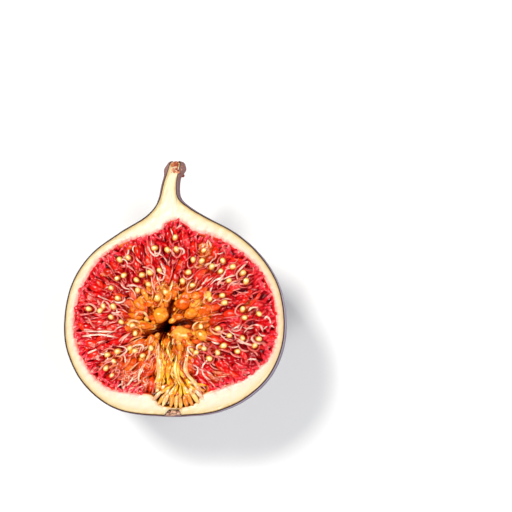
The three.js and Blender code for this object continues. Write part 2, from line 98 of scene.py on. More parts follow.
# Finer sizes that only the finished fruit has.
SKIN_THICKNESS = 0.33
SKIN_ROWS = 210
SKIN_COLUMNS = 190
FLESH_COLUMNS = 56
BAND_RINGS = 22
BED_RINGS = 96
BED_SECTORS = 440


# Shapes


class Draws:
    """The seeded draws of the part's source, in its order, so florets, seeds and lumps keep their places."""

    def __init__(self, state):
        self.state = state

    def share(self):
        self.state = (self.state * 1664525 + 1013904223) % 2**32
        return self.state / 2**32

    def either(self):
        return 2 * self.share() - 1


class Soup:
    """Gathers the points and faces of one piece, with three marks on each point that its material reads."""

    def __init__(self):
        self.points, self.marks, self.faces, self.count = [], [], [], 0

    def add(self, points, marks, *faces):
        points = np.asarray(points, float).reshape(-1, 3)
        self.points.append(points)
        self.marks.append(np.broadcast_to(np.asarray(marks, float), points.shape))
        self.faces += [group + self.count for group in faces]
        self.count += len(points)


def piece(name, soup, material, replaces, weld=0.0):
    """Makes one piece of a soup, in place, riding on the fig's one body."""
    mesh = bpy.data.meshes.new(name)
    points = np.vstack(soup.points) * MM + FIG_ORIGIN
    points[:, 2] = np.maximum(points[:, 2], 0)
    mesh.from_pydata(points.tolist(), [], [face for group in soup.faces for face in group.tolist()])
    marks = mesh.attributes.new("marks", "FLOAT_VECTOR", "POINT")
    marks.data.foreach_set("vector", np.vstack(soup.marks).astype(np.float32).ravel())
    if weld:
        work = bmesh.new()
        work.from_mesh(mesh)
        bmesh.ops.remove_doubles(work, verts=work.verts, dist=weld * MM)
        bmesh.ops.dissolve_degenerate(work, edges=work.edges, dist=0.2 * weld * MM)
        bmesh.ops.recalc_face_normals(work, faces=work.faces)
        work.to_mesh(mesh)
        work.free()
    mesh.polygons.foreach_set("use_smooth", np.ones(len(mesh.polygons), bool))
    mesh.materials.append(material)
    made = bpy.data.objects.new(name, mesh)
    bpy.context.scene.collection.objects.link(made)
    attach(made, "root")
    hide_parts(replaces)


def smoothstep(low, high, value):
    share = np.clip((np.asarray(value, float) - low) / (high - low), 0, 1)
    return share * share * (3 - 2 * share)


def mix(a, b, share):
    return a + (b - a) * share


def arch(t, power):
    """Rises from 0 at one end to 1 in the middle and falls back to 0, more bluntly with a smaller power."""
    return np.sin(math.pi * t) ** power


def smooth_curve(points, count, closed=False):
    """A centripetal Catmull-Rom curve through the points, at places evenly spaced along its length."""
    points = np.asarray(points, float)
    if closed:
        line = np.vstack([points[-1:], points, points[:2]])
    else:
        line = np.vstack([2 * points[:1] - points[1:2], points, 2 * points[-1:] - points[-2:-1]])
    t = np.linspace(0, 1, 33)[:-1, None]
    spans = []
    for p0, p1, p2, p3 in zip(line, line[1:], line[2:], line[3:]):
        d0, d1, d2 = (np.linalg.norm(b - a) ** 0.5 for a, b in ((p0, p1), (p1, p2), (p2, p3)))
        start = d1 * ((p1 - p0) / d0 - (p2 - p0) / (d0 + d1) + (p2 - p1) / d1)
        end = d1 * ((p2 - p1) / d1 - (p3 - p1) / (d1 + d2) + (p3 - p2) / d2)
        bow = 3 * (p2 - p1) - 2 * start - end
        spans.append(p1 + start * t + bow * t**2 + (2 * (p1 - p2) + start + end) * t**3)
    return even(np.vstack([*spans, line[-2:-1]]), np.linspace(0, 1, count))


def even(line, shares):
    """Points at the given shares of a line's length."""
    length = np.concatenate([[0], np.cumsum(np.linalg.norm(np.diff(line, axis=0), axis=1))])
    return np.column_stack([np.interp(np.asarray(shares) * length[-1], length, column) for column in line.T])


def grid(rows, columns, wrap=False):
    """Quads between the points of a grid of rows; wrap joins the last column to the first."""
    i, j = np.meshgrid(np.arange(rows - 1), np.arange(columns if wrap else columns - 1), indexing="ij")
    k = (j + 1) % columns
    corners = [i * columns + j, i * columns + k, (i + 1) * columns + k, (i + 1) * columns + j]
    return np.stack(corners, -1).reshape(-1, 4)


def distance(points, line):
    """Distance on the cut from each point to the nearest point of a line."""
    points = np.asarray(points, float).reshape(-1, np.shape(points)[-1])[:, :2]
    line = np.asarray(line, float)[:, :2]
    parts = [np.linalg.norm(chunk[:, None] - line, axis=2).min(1) for chunk in np.array_split(points, 40)]
    return np.concatenate(parts)


def ripple(points, size, seed, waves=7):
    """Smooth unevenness of the given size in mm, from -1 to 1: a few seeded waves in all directions."""
    rng = np.random.RandomState(seed)
    points = np.asarray(points, float)
    way = rng.normal(size=(waves, points.shape[-1]))
    way *= (rng.uniform(0.6, 1.6, (waves, 1)) * 2 * math.pi / size) / np.linalg.norm(way, axis=1)[:, None]
    return np.sin(points @ way.T + rng.uniform(0, 2 * math.pi, waves)).sum(-1) / waves * 1.6


def tube(soup, path, radii, sides, tone, warm, flat=1.0):
    """A closed round body along a path: its first and last points are its tips."""
    path = np.asarray(path, float)
    radii = np.broadcast_to(radii, len(path))
    ahead = np.gradient(path, axis=0)
    ahead /= np.linalg.norm(ahead, axis=1)[:, None] + 1e-9
    across = np.cross(ahead, [0, 0, 1])
    across /= np.linalg.norm(across, axis=1)[:, None] + 1e-9
    up = np.cross(across, ahead)
    turn = np.linspace(0, 2 * math.pi, sides, endpoint=False)[None, :, None]
    spokes = np.cos(turn) * across[1:-1, None] + flat * np.sin(turn) * up[1:-1, None]
    rings = path[1:-1, None] + radii[1:-1, None, None] * spokes
    count = len(path) - 2
    body = grid(count, sides, wrap=True)[:, ::-1]
    first, last = count * sides, count * sides + 1
    here = np.arange(sides)
    beyond = (here + 1) % sides
    start = np.stack([np.full(sides, first), here, beyond], -1)
    end = np.stack([np.full(sides, last), beyond + (count - 1) * sides, here + (count - 1) * sides], -1)
    along = np.append(np.repeat(np.linspace(0, 1, len(path))[1:-1], sides), [0, 1])
    marks = np.column_stack([np.full(len(along), tone), along, np.full(len(along), warm)])
    soup.add(np.vstack([rings.reshape(-1, 3), path[:1], path[-1:]]), marks, body, start, end)


def lay(soup, path, crest, radius, shape, tone, warm, foot=-0.9, rise=0.45, taper=0.5, sides=6, flat=0.8):
    """Lays a tube along a path on the cut: it climbs from its foot to its crest, and tapers to both ends."""
    t = np.linspace(0, 1, len(path))
    height = mix(foot, crest, arch(t, rise))
    tube(soup, np.column_stack([path, height]), radius * arch(t, taper) * shape, sides, tone, warm, flat)


def wander(middle, heading, length, bend, curl, steps):
    """A path on the cut through middle that heads one way, bends and curls."""
    t = np.linspace(0, 1, steps)
    way = heading + bend * (t - 0.5) + curl * np.sin(2 * math.pi * t)
    step = np.stack([np.cos(way), np.sin(way)], -1) * length / (steps - 1)
    path = np.cumsum(step, axis=0)
    return path - path[steps // 2] + np.asarray(middle), t


def ball(detail):
    work = bmesh.new()
    bmesh.ops.create_icosphere(work, subdivisions=detail, radius=1)
    points = np.array([v.co[:] for v in work.verts])
    faces = np.array([[v.index for v in f.verts] for f in work.faces])
    work.free()
    return points, faces


BALLS = {detail: ball(detail) for detail in (2, 3, 4)}


def blob(soup, centre, radii, rng, rough, warm, turn=0.0, detail=3):
    """A rounded lump with an uneven surface."""
    base, faces = BALLS[detail]
    seed = rng.randint(1, 9999)
    shape = base * (1 + rough * ripple(base, 1.7, seed)[:, None]) * radii
    spun = shape @ np.array(Matrix.Rotation(-turn, 3, "Z"))
    height = (base[:, 2] + 1) / 2
    marks = np.column_stack([np.full(len(base), rng.uniform()), height, np.full(len(base), warm)])
    soup.add(spun + centre, marks, faces)


# Skin, flesh and the ends


def axis_depth(height):
    share = smoothstep(AXIS_DEPTH["from"], AXIS_DEPTH["to"], height)
    return mix(AXIS_DEPTH["body"], AXIS_DEPTH["stem"], share)


def rib_height(angle, height):
    strength = RIB_LEAST + (1 - RIB_LEAST) * np.exp(-(((height - RIB_TOP) / RIB_FADE) ** 2))
    at_neck = np.clip((57 - height) / 9, 0.2, 1)
    around = np.degrees(angle)
    rise = sum(tall * np.exp(-(((around - centre) / RIB_HALF_WIDTH) ** 2)) for centre, tall in RIBS)
    return strength * at_neck * rise


def knob_swell(angle, height):
    lumpy = 1 + KNOB["uneven"] * np.cos(KNOB["lumps"] * angle)
    return KNOB["swell"] * lumpy * np.exp(-(((height - KNOB["height"]) / KNOB["reach"]) ** 2))


def wrinkles(angle, height):
    """Depth of the fine creases: lengthwise up the shoulder and neck, and round the eye like spokes."""
    wavy = angle + 0.05 * np.sin(height / 3.1) + 0.04 * np.sin(height / 1.3 + 5 * angle)
    spokes = 0.5 + 0.5 * np.sin(31 * wavy + 2 * np.sin(4 * angle))
    lines = 0.5 + 0.5 * np.sin(67 * wavy + 3 * np.sin(5 * angle + 1))
    around_eye = 0.22 * np.exp(-((height / 1.6) ** 2)) * spokes
    shoulder = 0.16 * np.exp(-(((height - 48) / 7) ** 2)) * lines
    overall = 0.05 * (1 + np.sin(9 * angle + height / 5)) + 0.03 * lines
    return around_eye + shoulder + overall


def loft(rows, columns, inset=0.0):
    """The fruit's outer surface, or one inset from it: a grid of points from the eye to the stem."""
    left, height, right = smooth_curve([(a, y, b) for y, a, b in CUT_OUTLINE], rows).T[:, :, None]
    middle = (left + right) / 2
    behind = axis_depth(height)
    radius = np.hypot((right - left) / 2, behind / DEPTH_SHARE)
    widening, climb = np.gradient(radius[:, 0])[:, None], np.gradient(height[:, 0])[:, None]
    steep = climb / np.hypot(widening, climb)
    up = inset * widening / np.hypot(widening, climb)
    overlap = np.arcsin(behind / DEPTH_SHARE / radius)
    share = np.linspace(0, 1, columns)[None]
    angle = -overlap + (math.pi + 2 * overlap) * share
    inward = smoothstep(0, 0.025, np.minimum(share, 1 - share))
    relief = rib_height(angle, height) + knob_swell(angle, height) - wrinkles(angle, height) - 0.03
    reach = radius + inward * relief - inset * steep
    depth = np.maximum(0, behind + DEPTH_SHARE * reach * np.sin(angle))
    depth[:, [0, -1]] = 0
    skin = np.stack([middle + reach * np.cos(angle), height + up + 0 * angle, -depth], -1)
    ring = (EYE["ring"], EYE["depth"])
    eye = [(0.02, EYE["depth"] - EYE["button"]), (0.3, EYE["depth"] - 0.2), ring, (0.8, 0.5)]
    stem = [(0.85, 0.45), (0.6, KNOB["dome"]), (0.3, 0.6), (0.02, 0.7 * KNOB["dome"])]
    low = [drawn_in(skin[0], part, shift) for part, shift in eye]
    high = [drawn_in(skin[-1], part, shift - inset) for part, shift in stem]
    angles = np.vstack([np.repeat(angle[:1], 4, 0), angle, np.repeat(angle[-1:], 4, 0)])
    return np.concatenate([low, skin, high]), angles


def drawn_in(row, share, shift):
    """A row drawn in towards the fruit's axis and moved along it, to close an end."""
    axis = np.array([(row[0, 0] + row[-1, 0]) / 2, row[0, 1], -float(axis_depth(row[0, 1]))])
    return mix(axis, row, share) + [0, shift, 0]


def perimeter(rows, columns):
    """The edge of a grid as a loop: up the right side, round the stem, down the left and round the eye."""
    right = np.arange(rows) * columns
    top = right[-1] + np.arange(1, columns)
    left = (right + columns - 1)[::-1][1:]
    return np.concatenate([right, top, left, np.arange(columns - 2, 0, -1)])


def make_skin():
    """The skin is a thin shell, open at the cut, where its edge shows as a dark line."""
    soup = Soup()
    outer, angles = loft(SKIN_ROWS, SKIN_COLUMNS)
    inner, _ = loft(SKIN_ROWS, SKIN_COLUMNS, SKIN_THICKNESS)
    rows, columns = outer.shape[:2]
    around = angles * WIDEST
    outside = np.stack([around, outer[..., 1], 0 * around], -1).reshape(-1, 3)
    size = rows * columns
    edge = perimeter(rows, columns)
    ahead = np.roll(edge, -1)
    lip = np.stack([edge, ahead, ahead + size, edge + size], -1)
    sheet = grid(rows, columns)
    points = np.concatenate([outer.reshape(-1, 3), inner.reshape(-1, 3)])
    soup.add(points, np.concatenate([outside, outside + [0, 0, 1]]), sheet, sheet[:, ::-1] + size, lip)
    return soup


PULP_LINE = smooth_curve(PULP_OUTLINE, 1400, closed=True)
NECK_SHARE = 0.985  # the pulp's side is spent by the time the flesh reaches the neck


def partners(side, outline):
    """For each point up one side of the cut, the point of the pulp's outline that faces it."""
    length = np.concatenate([[0], np.cumsum(np.linalg.norm(np.diff(side[:, :2], axis=0), axis=1))])
    neck = length[np.argmax(side[:, 1] > 50)]
    past_neck = 1 - (1 - NECK_SHARE) * (length[-1] - length) / (length[-1] - neck)
    return even(outline, np.where(length < neck, NECK_SHARE * length / neck, past_neck))


def make_flesh():
    """The flesh between skin and pulp: its cut face, its back under the skin, and the pulp's hollow."""
    soup = Soup()
    back, _ = loft(SKIN_ROWS, FLESH_COLUMNS, SKIN_THICKNESS)
    rows, columns = back.shape[:2]
    rim = back.reshape(-1, 3)[perimeter(rows, columns)]
    lowest = PULP_LINE[:, 1].argmin()
    right, left = PULP_LINE[: lowest + 1][::-1], PULP_LINE[lowest:]
    up, down = slice(0, rows), slice(rows + columns - 2, 2 * rows + columns - 2)

    # Each point of the rim faces one of the pulp's outline, and the cut runs across between them.
    facing = np.zeros((len(rim), 3))
    facing[up, :2] = partners(rim[up], right)
    facing[down, :2] = partners(rim[down][::-1], left)[::-1]
    facing[up.stop : down.start, :2] = right[-1]
    facing[down.stop :, :2] = right[0]
    steps = smoothstep(-0.35, 1.25, np.linspace(0, 1, BAND_RINGS))
    steps = (steps - steps[0]) / (steps[-1] - steps[0])
    band = mix(rim[None], facing[None], steps[:, None, None])

    # The neck is bent, so what crosses it is kept inside its two edges.
    sides = [line[line[:, 1] > 45] for line in (rim[down][::-1], rim[up])]
    least, most = (np.interp(band[..., 1], line[:, 1], line[:, 0]) for line in sides)
    margin = 0.5 * steps[:, None]
    in_neck = (band[..., 1] > 47) & (band[..., 1] < 61)
    band[..., 0] = np.where(in_neck, np.clip(band[..., 0], least + margin, most - margin), band[..., 0])

    # The cut face is moist and faintly uneven, and sinks a little where it meets the pulp.
    run = np.linalg.norm(band[..., :2] - rim[None, :, :2], axis=-1)
    band[..., 2] = rim[:, 2] * (1 - smoothstep(0, 0.9, run))
    from_skin = distance(band, rim[rim[:, 2] > -1e-6]).reshape(band.shape[:2])
    from_pulp = distance(band, np.vstack([right, left[::-1]])).reshape(band.shape[:2])
    wet = 0.04 * ripple(band[..., :2], 2.2, 5) + 0.03 * ripple(band[..., :2], 0.9, 6)
    by_fan = smoothstep(9.5, 7.0, np.abs(band[..., 0] - 1)) * smoothstep(9, 6, band[..., 1])
    sink = mix(0.38, 0.2, by_fan) * smoothstep(0.7, 0, from_pulp + 0.25 * ripple(band[..., :2], 1.4, 7))
    band[..., 2] += np.where(from_skin > 0.3, wet - 0.06, 0) - sink
    away = band[..., :2] - HEART
    around = np.mod(np.arctan2(away[..., 0], -away[..., 1]), 2 * math.pi) * 22
    marks = np.stack([around, from_skin, from_pulp], -1)

    wall = []
    for slope in np.linspace(0, math.pi / 2, 9)[1:]:
        ring = mix(np.array([*HEART, 0]), facing, max(math.cos(slope), 0.01))
        ring[:, 2] = -0.6 - (PULP_DEPTH - 0.6) * math.sin(slope)
        wall.append(ring)
    rings = np.concatenate([band, wall])
    inside = np.broadcast_to([0, 3, 0], (len(wall), len(rim), 3))
    soup.add(back.reshape(-1, 3), [0, 0, 5], grid(rows, columns))
    ring_marks = np.concatenate([marks, inside]).reshape(-1, 3)
    soup.add(rings.reshape(-1, 3), ring_marks, grid(*rings.shape[:2], wrap=True))
    return soup


def make_stem_cap():
    """The dry, broken end of the stem: crumbs of brown tissue and dried sap over the neck's tip."""
    soup = Soup()
    rng = np.random.RandomState(3)
    skin, _ = loft(SKIN_ROWS, SKIN_COLUMNS)
    tip = skin[-5]
    middle_x, height, middle_z = (tip[0, 0] + tip[-1, 0]) / 2, tip[0, 1], -float(axis_depth(tip[0, 1]))
    for _ in range(150):
        angle = rng.uniform(-2.9, 2.9)
        reach = 1.75 * math.sqrt(rng.uniform(0.02, 1))
        size = rng.uniform(0.18, 0.48)
        x = middle_x + reach * math.cos(angle)
        z = min(middle_z + 0.95 * reach * math.sin(angle), 0.1 - size * 0.7)
        long = size * rng.uniform(0.8, 1.3)
        y = min(height + rng.uniform(-2.2, 0.9) - 0.4 * abs(x - middle_x), 62.45 - 1.25 * long)
        blob(soup, (x, y, z), (size, long, size * 0.85), rng, 0.22, rng.uniform(0, 1))
    return soup


def make_eye():
    """The eye at the blunt end: small dry scales that crowd its opening."""
    soup = Soup()
    rng = np.random.RandomState(8)
    for _ in range(90):
        angle = rng.uniform(0, 2 * math.pi)
        reach = 2.3 * math.sqrt(rng.uniform(0, 1))
        size = rng.uniform(0.28, 0.5)
        x, z = reach * math.cos(angle), reach * math.sin(angle) - AXIS_DEPTH["body"]
        y = max(1.25 - 0.35 * reach + rng.uniform(-0.2, 0.5), size * 0.6 + 0.08)
        z = min(z, -0.1 - 0.8 * size)
        radii = (size * rng.uniform(1, 1.5), 0.6 * size, size)
        blob(soup, (x, y, z), radii, rng, 0.15, rng.uniform(0, 1), 0, 2)
    return soup


# Pulp

PULP_ANGLES = np.arctan2(PULP_LINE[:, 1] - HEART[1], PULP_LINE[:, 0] - HEART[0])
PULP_REACHES = np.linalg.norm(PULP_LINE - HEART, axis=1)
PULP_GAP = 0.3  # which florets keep from the pulp's outline


def on_cut(angle, reach):
    return HEART + reach * np.array([math.cos(angle), math.sin(angle)])


def pulp_reach(angle):
    """How far the pulp reaches from its heart in one direction."""
    return PULP_REACHES[np.cos(PULP_ANGLES - angle).argmax()] - PULP_GAP


def edge_distance(x, y):
    """How far a place lies inside the pulp's edge, or outside it if less than 0."""
    away = np.array([x, y]) - HEART
    return pulp_reach(math.atan2(away[1], away[0])) + PULP_GAP - np.linalg.norm(away)


def in_throat(x, y, margin=0.8):
    if y > THROAT["top"][1]:
        return False
    spread = 1.9 if y < FAN_ROOT[1] + 1.5 else 1
    share = min(1, (THROAT["top"][1] - y) / (THROAT["top"][1] - THROAT["foot"][1]))
    middle = mix(THROAT["top"][0], THROAT["foot"][0], share)
    return abs(x - middle) < THROAT["half_width"] * spread + margin


def grow_florets(draws):
    """The pods, each as place, heading, top, length and radius, and the seeds, as places and headings."""
    pods, seeds = [], []
    for row, (share, count, with_seed) in enumerate(FLORET_ROWS):
        for i in range(count):
            angle = (i + 0.5 * (row % 2) + FLORET["scatter"] * draws.either()) / count * 2 * math.pi
            x, y = on_cut(angle, (share + 0.02 * draws.either()) * pulp_reach(angle))
            heading = angle + math.pi + FLORET["twist"] * draws.either()
            size = 0.85 + 0.3 * draws.share()
            top = FLORET["top"] + 0.3 * draws.either()
            seedless = y < SEEDLESS["below"] and abs(x - SEEDLESS["middle"]) < SEEDLESS["aside"]
            shows_seed = draws.share() < with_seed and not seedless
            if in_throat(x, y):
                continue
            length, radius = FLORET["length"] * size, FLORET["radius"] * size
            pods.append((x, y, heading, top, length, radius))
            if shows_seed:
                out = SEED_ALONG * length
                seeds.append((x + out * math.cos(heading), y + out * math.sin(heading), heading))
    return pods, seeds


def skip_throat_draws(draws):
    """The throat's folds take their draws between the florets and the lumps."""
    for _ in range(2 * THROAT["folds"]):
        draws.either()


def grow_lumps(draws):
    lumps = []
    for i in range(LUMP["count"]):
        angle = i * GOLDEN_ANGLE + 0.4 * draws.either()
        reach = LUMP["inner"] + (LUMP["outer"] - LUMP["inner"]) * math.sqrt(i / LUMP["count"])
        radius = mix(LUMP["smallest"], LUMP["largest"], draws.share())
        at = on_cut(angle, reach)
        clear = all(distance([at], smooth_curve(path, 60))[0] > 0.7 * radius for path, _ in CLEFTS)
        others = [((a, b), long) for a, b, long, _, _ in GREAT_LUMPS] + lumps
        if clear and all(math.dist(at, other) > 0.8 * (radius + r) for other, r in others):
            lumps.append((tuple(at), radius))
    return lumps


# Where florets turn amber away from the heart: place on the cut, half width, half height, strength.
WARM_PATCHES = [
    (-8.6, 11.5, 4.6, 5.2, 0.62),
    (7.6, 39.5, 2.2, 4.0, 0.62),
    (-14.5, 13.5, 2.6, 2.6, 0.5),
    (10.5, 10.0, 1.6, 1.6, 0.5),
]


def warmth(x, y):
    """0 where the pulp is crimson and 1 where it is amber, round the heart and beside the throat."""
    away = math.hypot((x - HEART[0] - 1.2) * 0.92, y - HEART[1] - 1.5)
    near_heart = 1 - smoothstep(6.5, 12.5, away)
    near_throat = 0.6 * (1 - smoothstep(3.4, 6.5, abs(x + 0.3))) * (y < HEART[1]) * smoothstep(4, 9, y)
    patches = 0.45 * smoothstep(0.45, 1.0, ripple((x, y), 8, 31))
    named = max(
        share * math.exp(-(((x - a) / wide) ** 2) - ((y - b) / tall) ** 2)
        for a, b, wide, tall, share in WARM_PATCHES
    )
    return float(np.clip(max(near_heart, near_throat, patches, named), 0, 1))


def bed_height(points, seeds):
    """Height of the red tissue under the pods: folds that run to the heart, dimpled round each seed."""
    flat = points[..., :2]
    away = flat - HEART
    reach = np.linalg.norm(away, axis=-1)
    spread = away / (reach[..., None] + 0.01)
    along = np.concatenate([13 * spread, 0.28 * reach[..., None]], axis=-1)
    folds = np.abs(ripple(along, 3.4, 23, 9)) + 0.35 * np.abs(ripple(flat, 1.9, 22, 9))
    height = -1.95 + 1.3 * np.minimum(folds, 1.2) + 0.12 * ripple(flat, 0.9, 21)
    by_seed = distance(flat, np.array(seeds)[:, :2]).reshape(reach.shape)
    wall, pit = np.exp(-(((by_seed - 1.55) / 0.35) ** 2)), np.exp(-((by_seed / 1.0) ** 2))
    height = height + 0.3 * wall - 0.45 * pit
    height = height - 0.7 * HEART_DEPTH * np.exp(-((reach / HEART_RADIUS) ** 2))
    for path, depth in CLEFTS:
        line = smooth_curve(path, 90)
        gap = np.linalg.norm(flat[..., None, :] - line, axis=-1)
        share = gap.argmin(-1) / len(line)
        height = height - 0.9 * depth * (1 - 0.6 * share) * np.exp(-((gap.min(-1) / 0.6) ** 2))
    return height


def make_bed(seeds):
    """The body of the pulp. Its marks are a tone of painted shade by height, how deep in painted shade it
    lies, and how amber it is.
    """
    soup = Soup()
    rim = smooth_curve(PULP_OUTLINE, BED_SECTORS + 1, closed=True)[:-1]
    shares = np.linspace(0.012, 1, BED_RINGS) ** 0.85 * 1.012
    top = np.zeros((BED_RINGS, BED_SECTORS, 3))
    top[..., :2] = HEART + (rim - HEART) * shares[:, None, None]
    at_rim = smoothstep(0.965, 1.0, shares)[:, None]
    in_fan = smoothstep(7.6, 6.4, np.abs(top[..., 0] - 1.2)) * smoothstep(9.5, 7.5, top[..., 1])
    top[..., 2] = mix(bed_height(top, seeds), -0.42 - 0.3 * in_fan, at_rim)
    # Painted shade: dark under the throat's column and the fan, and deep down in the heart and the clefts.
    in_column = smoothstep(4.2, 3.0, np.abs(top[..., 0] + 0.4)) * (top[..., 1] < THROAT["top"][1])
    in_shade = 0.85 * np.maximum(in_column, in_fan) * (1 - at_rim)
    deep = np.maximum(smoothstep(-1.9, -3.8, top[..., 2]), in_shade)
    warm = np.array([warmth(x, y) for x, y, _ in top.reshape(-1, 3)]).reshape(deep.shape)
    # Painted shade: the tone is lighter on the folds' tops and darker low between them, and a little darker
    # near the rim.
    tone = smoothstep(-1.9, -0.6, top[..., 2]) * (1 - 0.4 * at_rim)
    marks = np.stack([tone, deep, np.maximum(warm, in_fan)], -1)
    below = []
    for slope in np.linspace(0, math.pi / 2, 7)[1:]:
        ring = np.zeros((BED_SECTORS, 3))
        ring[:, :2] = HEART + (rim - HEART) * 0.985 * max(math.cos(slope), 0.012)
        ring[:, 2] = -0.9 - (PULP_DEPTH - 1.4) * math.sin(slope)
        below.append(ring)
    rings = np.concatenate([top, below])
    all_marks = np.concatenate([marks, np.zeros((len(below), BED_SECTORS, 3))])
    soup.add(rings.reshape(-1, 3), all_marks.reshape(-1, 3), grid(*rings.shape[:2], wrap=True))
    return soup


def pod_radii(t, radius, fat=0.62):
    """A pod is slim where it is rooted, fattest towards the heart, and closes to a tip."""
    lift = arch(np.clip(t, 0, 1) ** (math.log(0.5) / math.log(fat)), 1)
    return radius * (0.25 * arch(t, 0.5) + 0.75 * lift)


def round_seeds(path, seeds, depth=0.8, wide=1.15):
    """Presses a path down where it passes a seed, which sits in a hollow of its own."""
    path[:, 2] -= depth * np.exp(-((distance(path, np.array(seeds)) / wide) ** 2))
    return path


def make_florets(pods, seeds):
    """Crimson pods: the main ones of the source, and slimmer ones that crowd in between."""
    soup = Soup()
    rng = np.random.RandomState(11)
    for x, y, heading, top, length, radius in pods:
        bend, curl = rng.uniform(-1.0, 1.0), rng.uniform(-0.25, 0.25)
        path, t = wander((x, y), heading, 1.35 * length, bend, curl, 15)
        height = mix(VALLEY - 0.3, top - 0.95 * radius, arch(t, 0.6))
        height = np.where(height > 0.3, 0.3 + 0.35 * (height - 0.3), height)  # pressed down by the knife
        path = round_seeds(np.column_stack([path, height]), seeds)
        tube(soup, path, pod_radii(t, 1.05 * radius), 12, rng.uniform(), warmth(x, y), 0.85)
    count = 180
    for i in range(count):
        angle = i * GOLDEN_ANGLE + rng.uniform(-0.1, 0.1)
        share = math.sqrt(mix(0.1, 0.97, (i + rng.uniform(0, 1)) / count))
        x, y = on_cut(angle, share * pulp_reach(angle))
        if in_throat(x, y, 0.2):
            continue
        heading = angle + math.pi + rng.normal(0, 0.5)
        radius, length = rng.uniform(0.42, 0.78), rng.uniform(3.0, 6.4)
        path, _ = wander((x, y), heading, length, rng.uniform(-2.0, 2.0), rng.uniform(-0.6, 0.6), 14)
        path = path[[edge_distance(*p) > -0.2 for p in path]]
        if len(path) < 6:
            continue
        t = np.linspace(0, 1, len(path))
        height = mix(VALLEY - 0.2, rng.uniform(-1.1, -0.4), arch(t, 0.55))
        radii = pod_radii(t, radius, rng.uniform(0.4, 0.65))
        path = round_seeds(np.column_stack([path, height]), seeds)
        tube(soup, path, radii, 9, rng.uniform(), warmth(x, y), 0.9)
    return soup


def make_seeds(seeds):
    """Hard yellow seeds, drop-shaped, each half sunk in its floret."""
    soup = Soup()
    rng = np.random.RandomState(12)
    t = np.linspace(0, 1, 13)
    for x, y, heading in seeds:
        size = rng.uniform(0.9, 1.08)
        way = heading + rng.normal(0, 0.7)
        out = (t - 0.5)[:, None] * 1.85 * size * np.array([math.cos(way), math.sin(way)])
        path = np.column_stack([np.array([x, y]) + out, rng.uniform(-0.4, 0.0) + 0.1 * (t - 0.5)])
        radii = 0.76 * size * np.sqrt(np.clip(1 - (2 * t - 1) ** 2, 0, 1)) * (1.08 - 0.26 * t)
        tube(soup, path, radii, 16, rng.uniform(), warmth(x, y), 0.85)
    return soup


def capsule(soup, rng, x, y, heading):
    """The cut wall of the capsule that a seed sits in: a pale drop-shaped arc round it."""
    start = heading + rng.uniform(-2.8, -0.4)
    sweep = rng.uniform(2.2, 5.2)
    long, wide = rng.uniform(1.35, 2.2), rng.uniform(1.0, 1.4)
    turn = start + sweep * np.linspace(0, 1, 21) - heading
    out = long * np.cos(turn) + 0.25
    side = wide * np.sin(turn) * (1 - 0.22 * np.cos(turn))
    path = np.column_stack([
        x + out * math.cos(heading) - side * math.sin(heading),
        y + out * math.sin(heading) + side * math.cos(heading),
    ])
    crest, radius = rng.uniform(-0.15, 0.15), rng.uniform(0.16, 0.28)
    lay(soup, path, crest, radius, 1, rng.uniform(0.3, 1), warmth(x, y), -0.75, 0.4, flat=0.9)


# The palest threads, as the cut shows them: points on the cut.
PALE_THREADS = [
    [(-22.9, 20.6), (-18.5, 20.5), (-13.6, 20.4)],
    [(-22.9, 19.4), (-18.0, 19.7), (-13.2, 18.9)],
    [(9.0, 21.1), (11.7, 20.1), (14.4, 18.7)],
    [(15.1, 18.7), (17.3, 17.4), (19.5, 16.7)],
    [(7.1, 17.4), (8.0, 15.5)],
    [(8.0, 15.0), (8.3, 13.6), (7.1, 11.9), (7.3, 9.9), (9.3, 8.4)],
    [(4.6, 12.4), (5.8, 11.6), (5.8, 10.2), (4.8, 9.6)],
    [(-1.5, 40.7), (-0.5, 39.7), (0.2, 38.3)],
    [(0.2, 40.7), (2.0, 40.5), (2.4, 39.7), (1.7, 39.0)],
    [(7.8, 43.0), (8.8, 41.7), (9.0, 40.5)],
    [(7.1, 36.1), (8.5, 36.8), (10.2, 36.3), (11.7, 37.1)],
    [(-4.1, 35.1), (-2.7, 34.4), (-1.5, 33.9)],
    [(-8.0, 36.3), (-5.8, 35.6), (-4.4, 34.2)],
    [(-5.6, 39.3), (-4.1, 39.5), (-2.4, 38.3), (-1.5, 36.8)],
    [(-11.9, 31.5), (-10.0, 31.7), (-7.6, 31.0)],
    [(-13.2, 36.6), (-11.2, 36.3), (-9.7, 35.1)],
    [(-15.6, 25.0), (-14.4, 25.0), (-12.9, 25.4)],
    [(-9.7, 23.7), (-8.8, 25.0), (-7.3, 25.0), (-6.1, 23.5)],
    [(21.7, 23.0), (22.6, 23.7), (23.4, 22.8), (23.3, 21.1)],
    [(19.3, 21.8), (21.0, 21.6), (21.7, 19.9)],
    [(18.0, 25.0), (19.0, 25.9), (20.7, 25.9)],
    [(-13.2, 13.3), (-13.9, 11.6), (-14.1, 10.4)],
    [(-12.2, 15.3), (-11.7, 13.8), (-11.7, 12.4)],
    [(-9.0, 6.8), (-7.1, 7.4), (-5.8, 9.0)],
    [(6.6, 31.5), (7.6, 32.5), (8.3, 33.7)],
    [(10.5, 31.3), (11.2, 32.5), (12.2, 33.4)],
]
ARCS = {"left": 16, "right": 10}  # threads that sweep down beside the throat


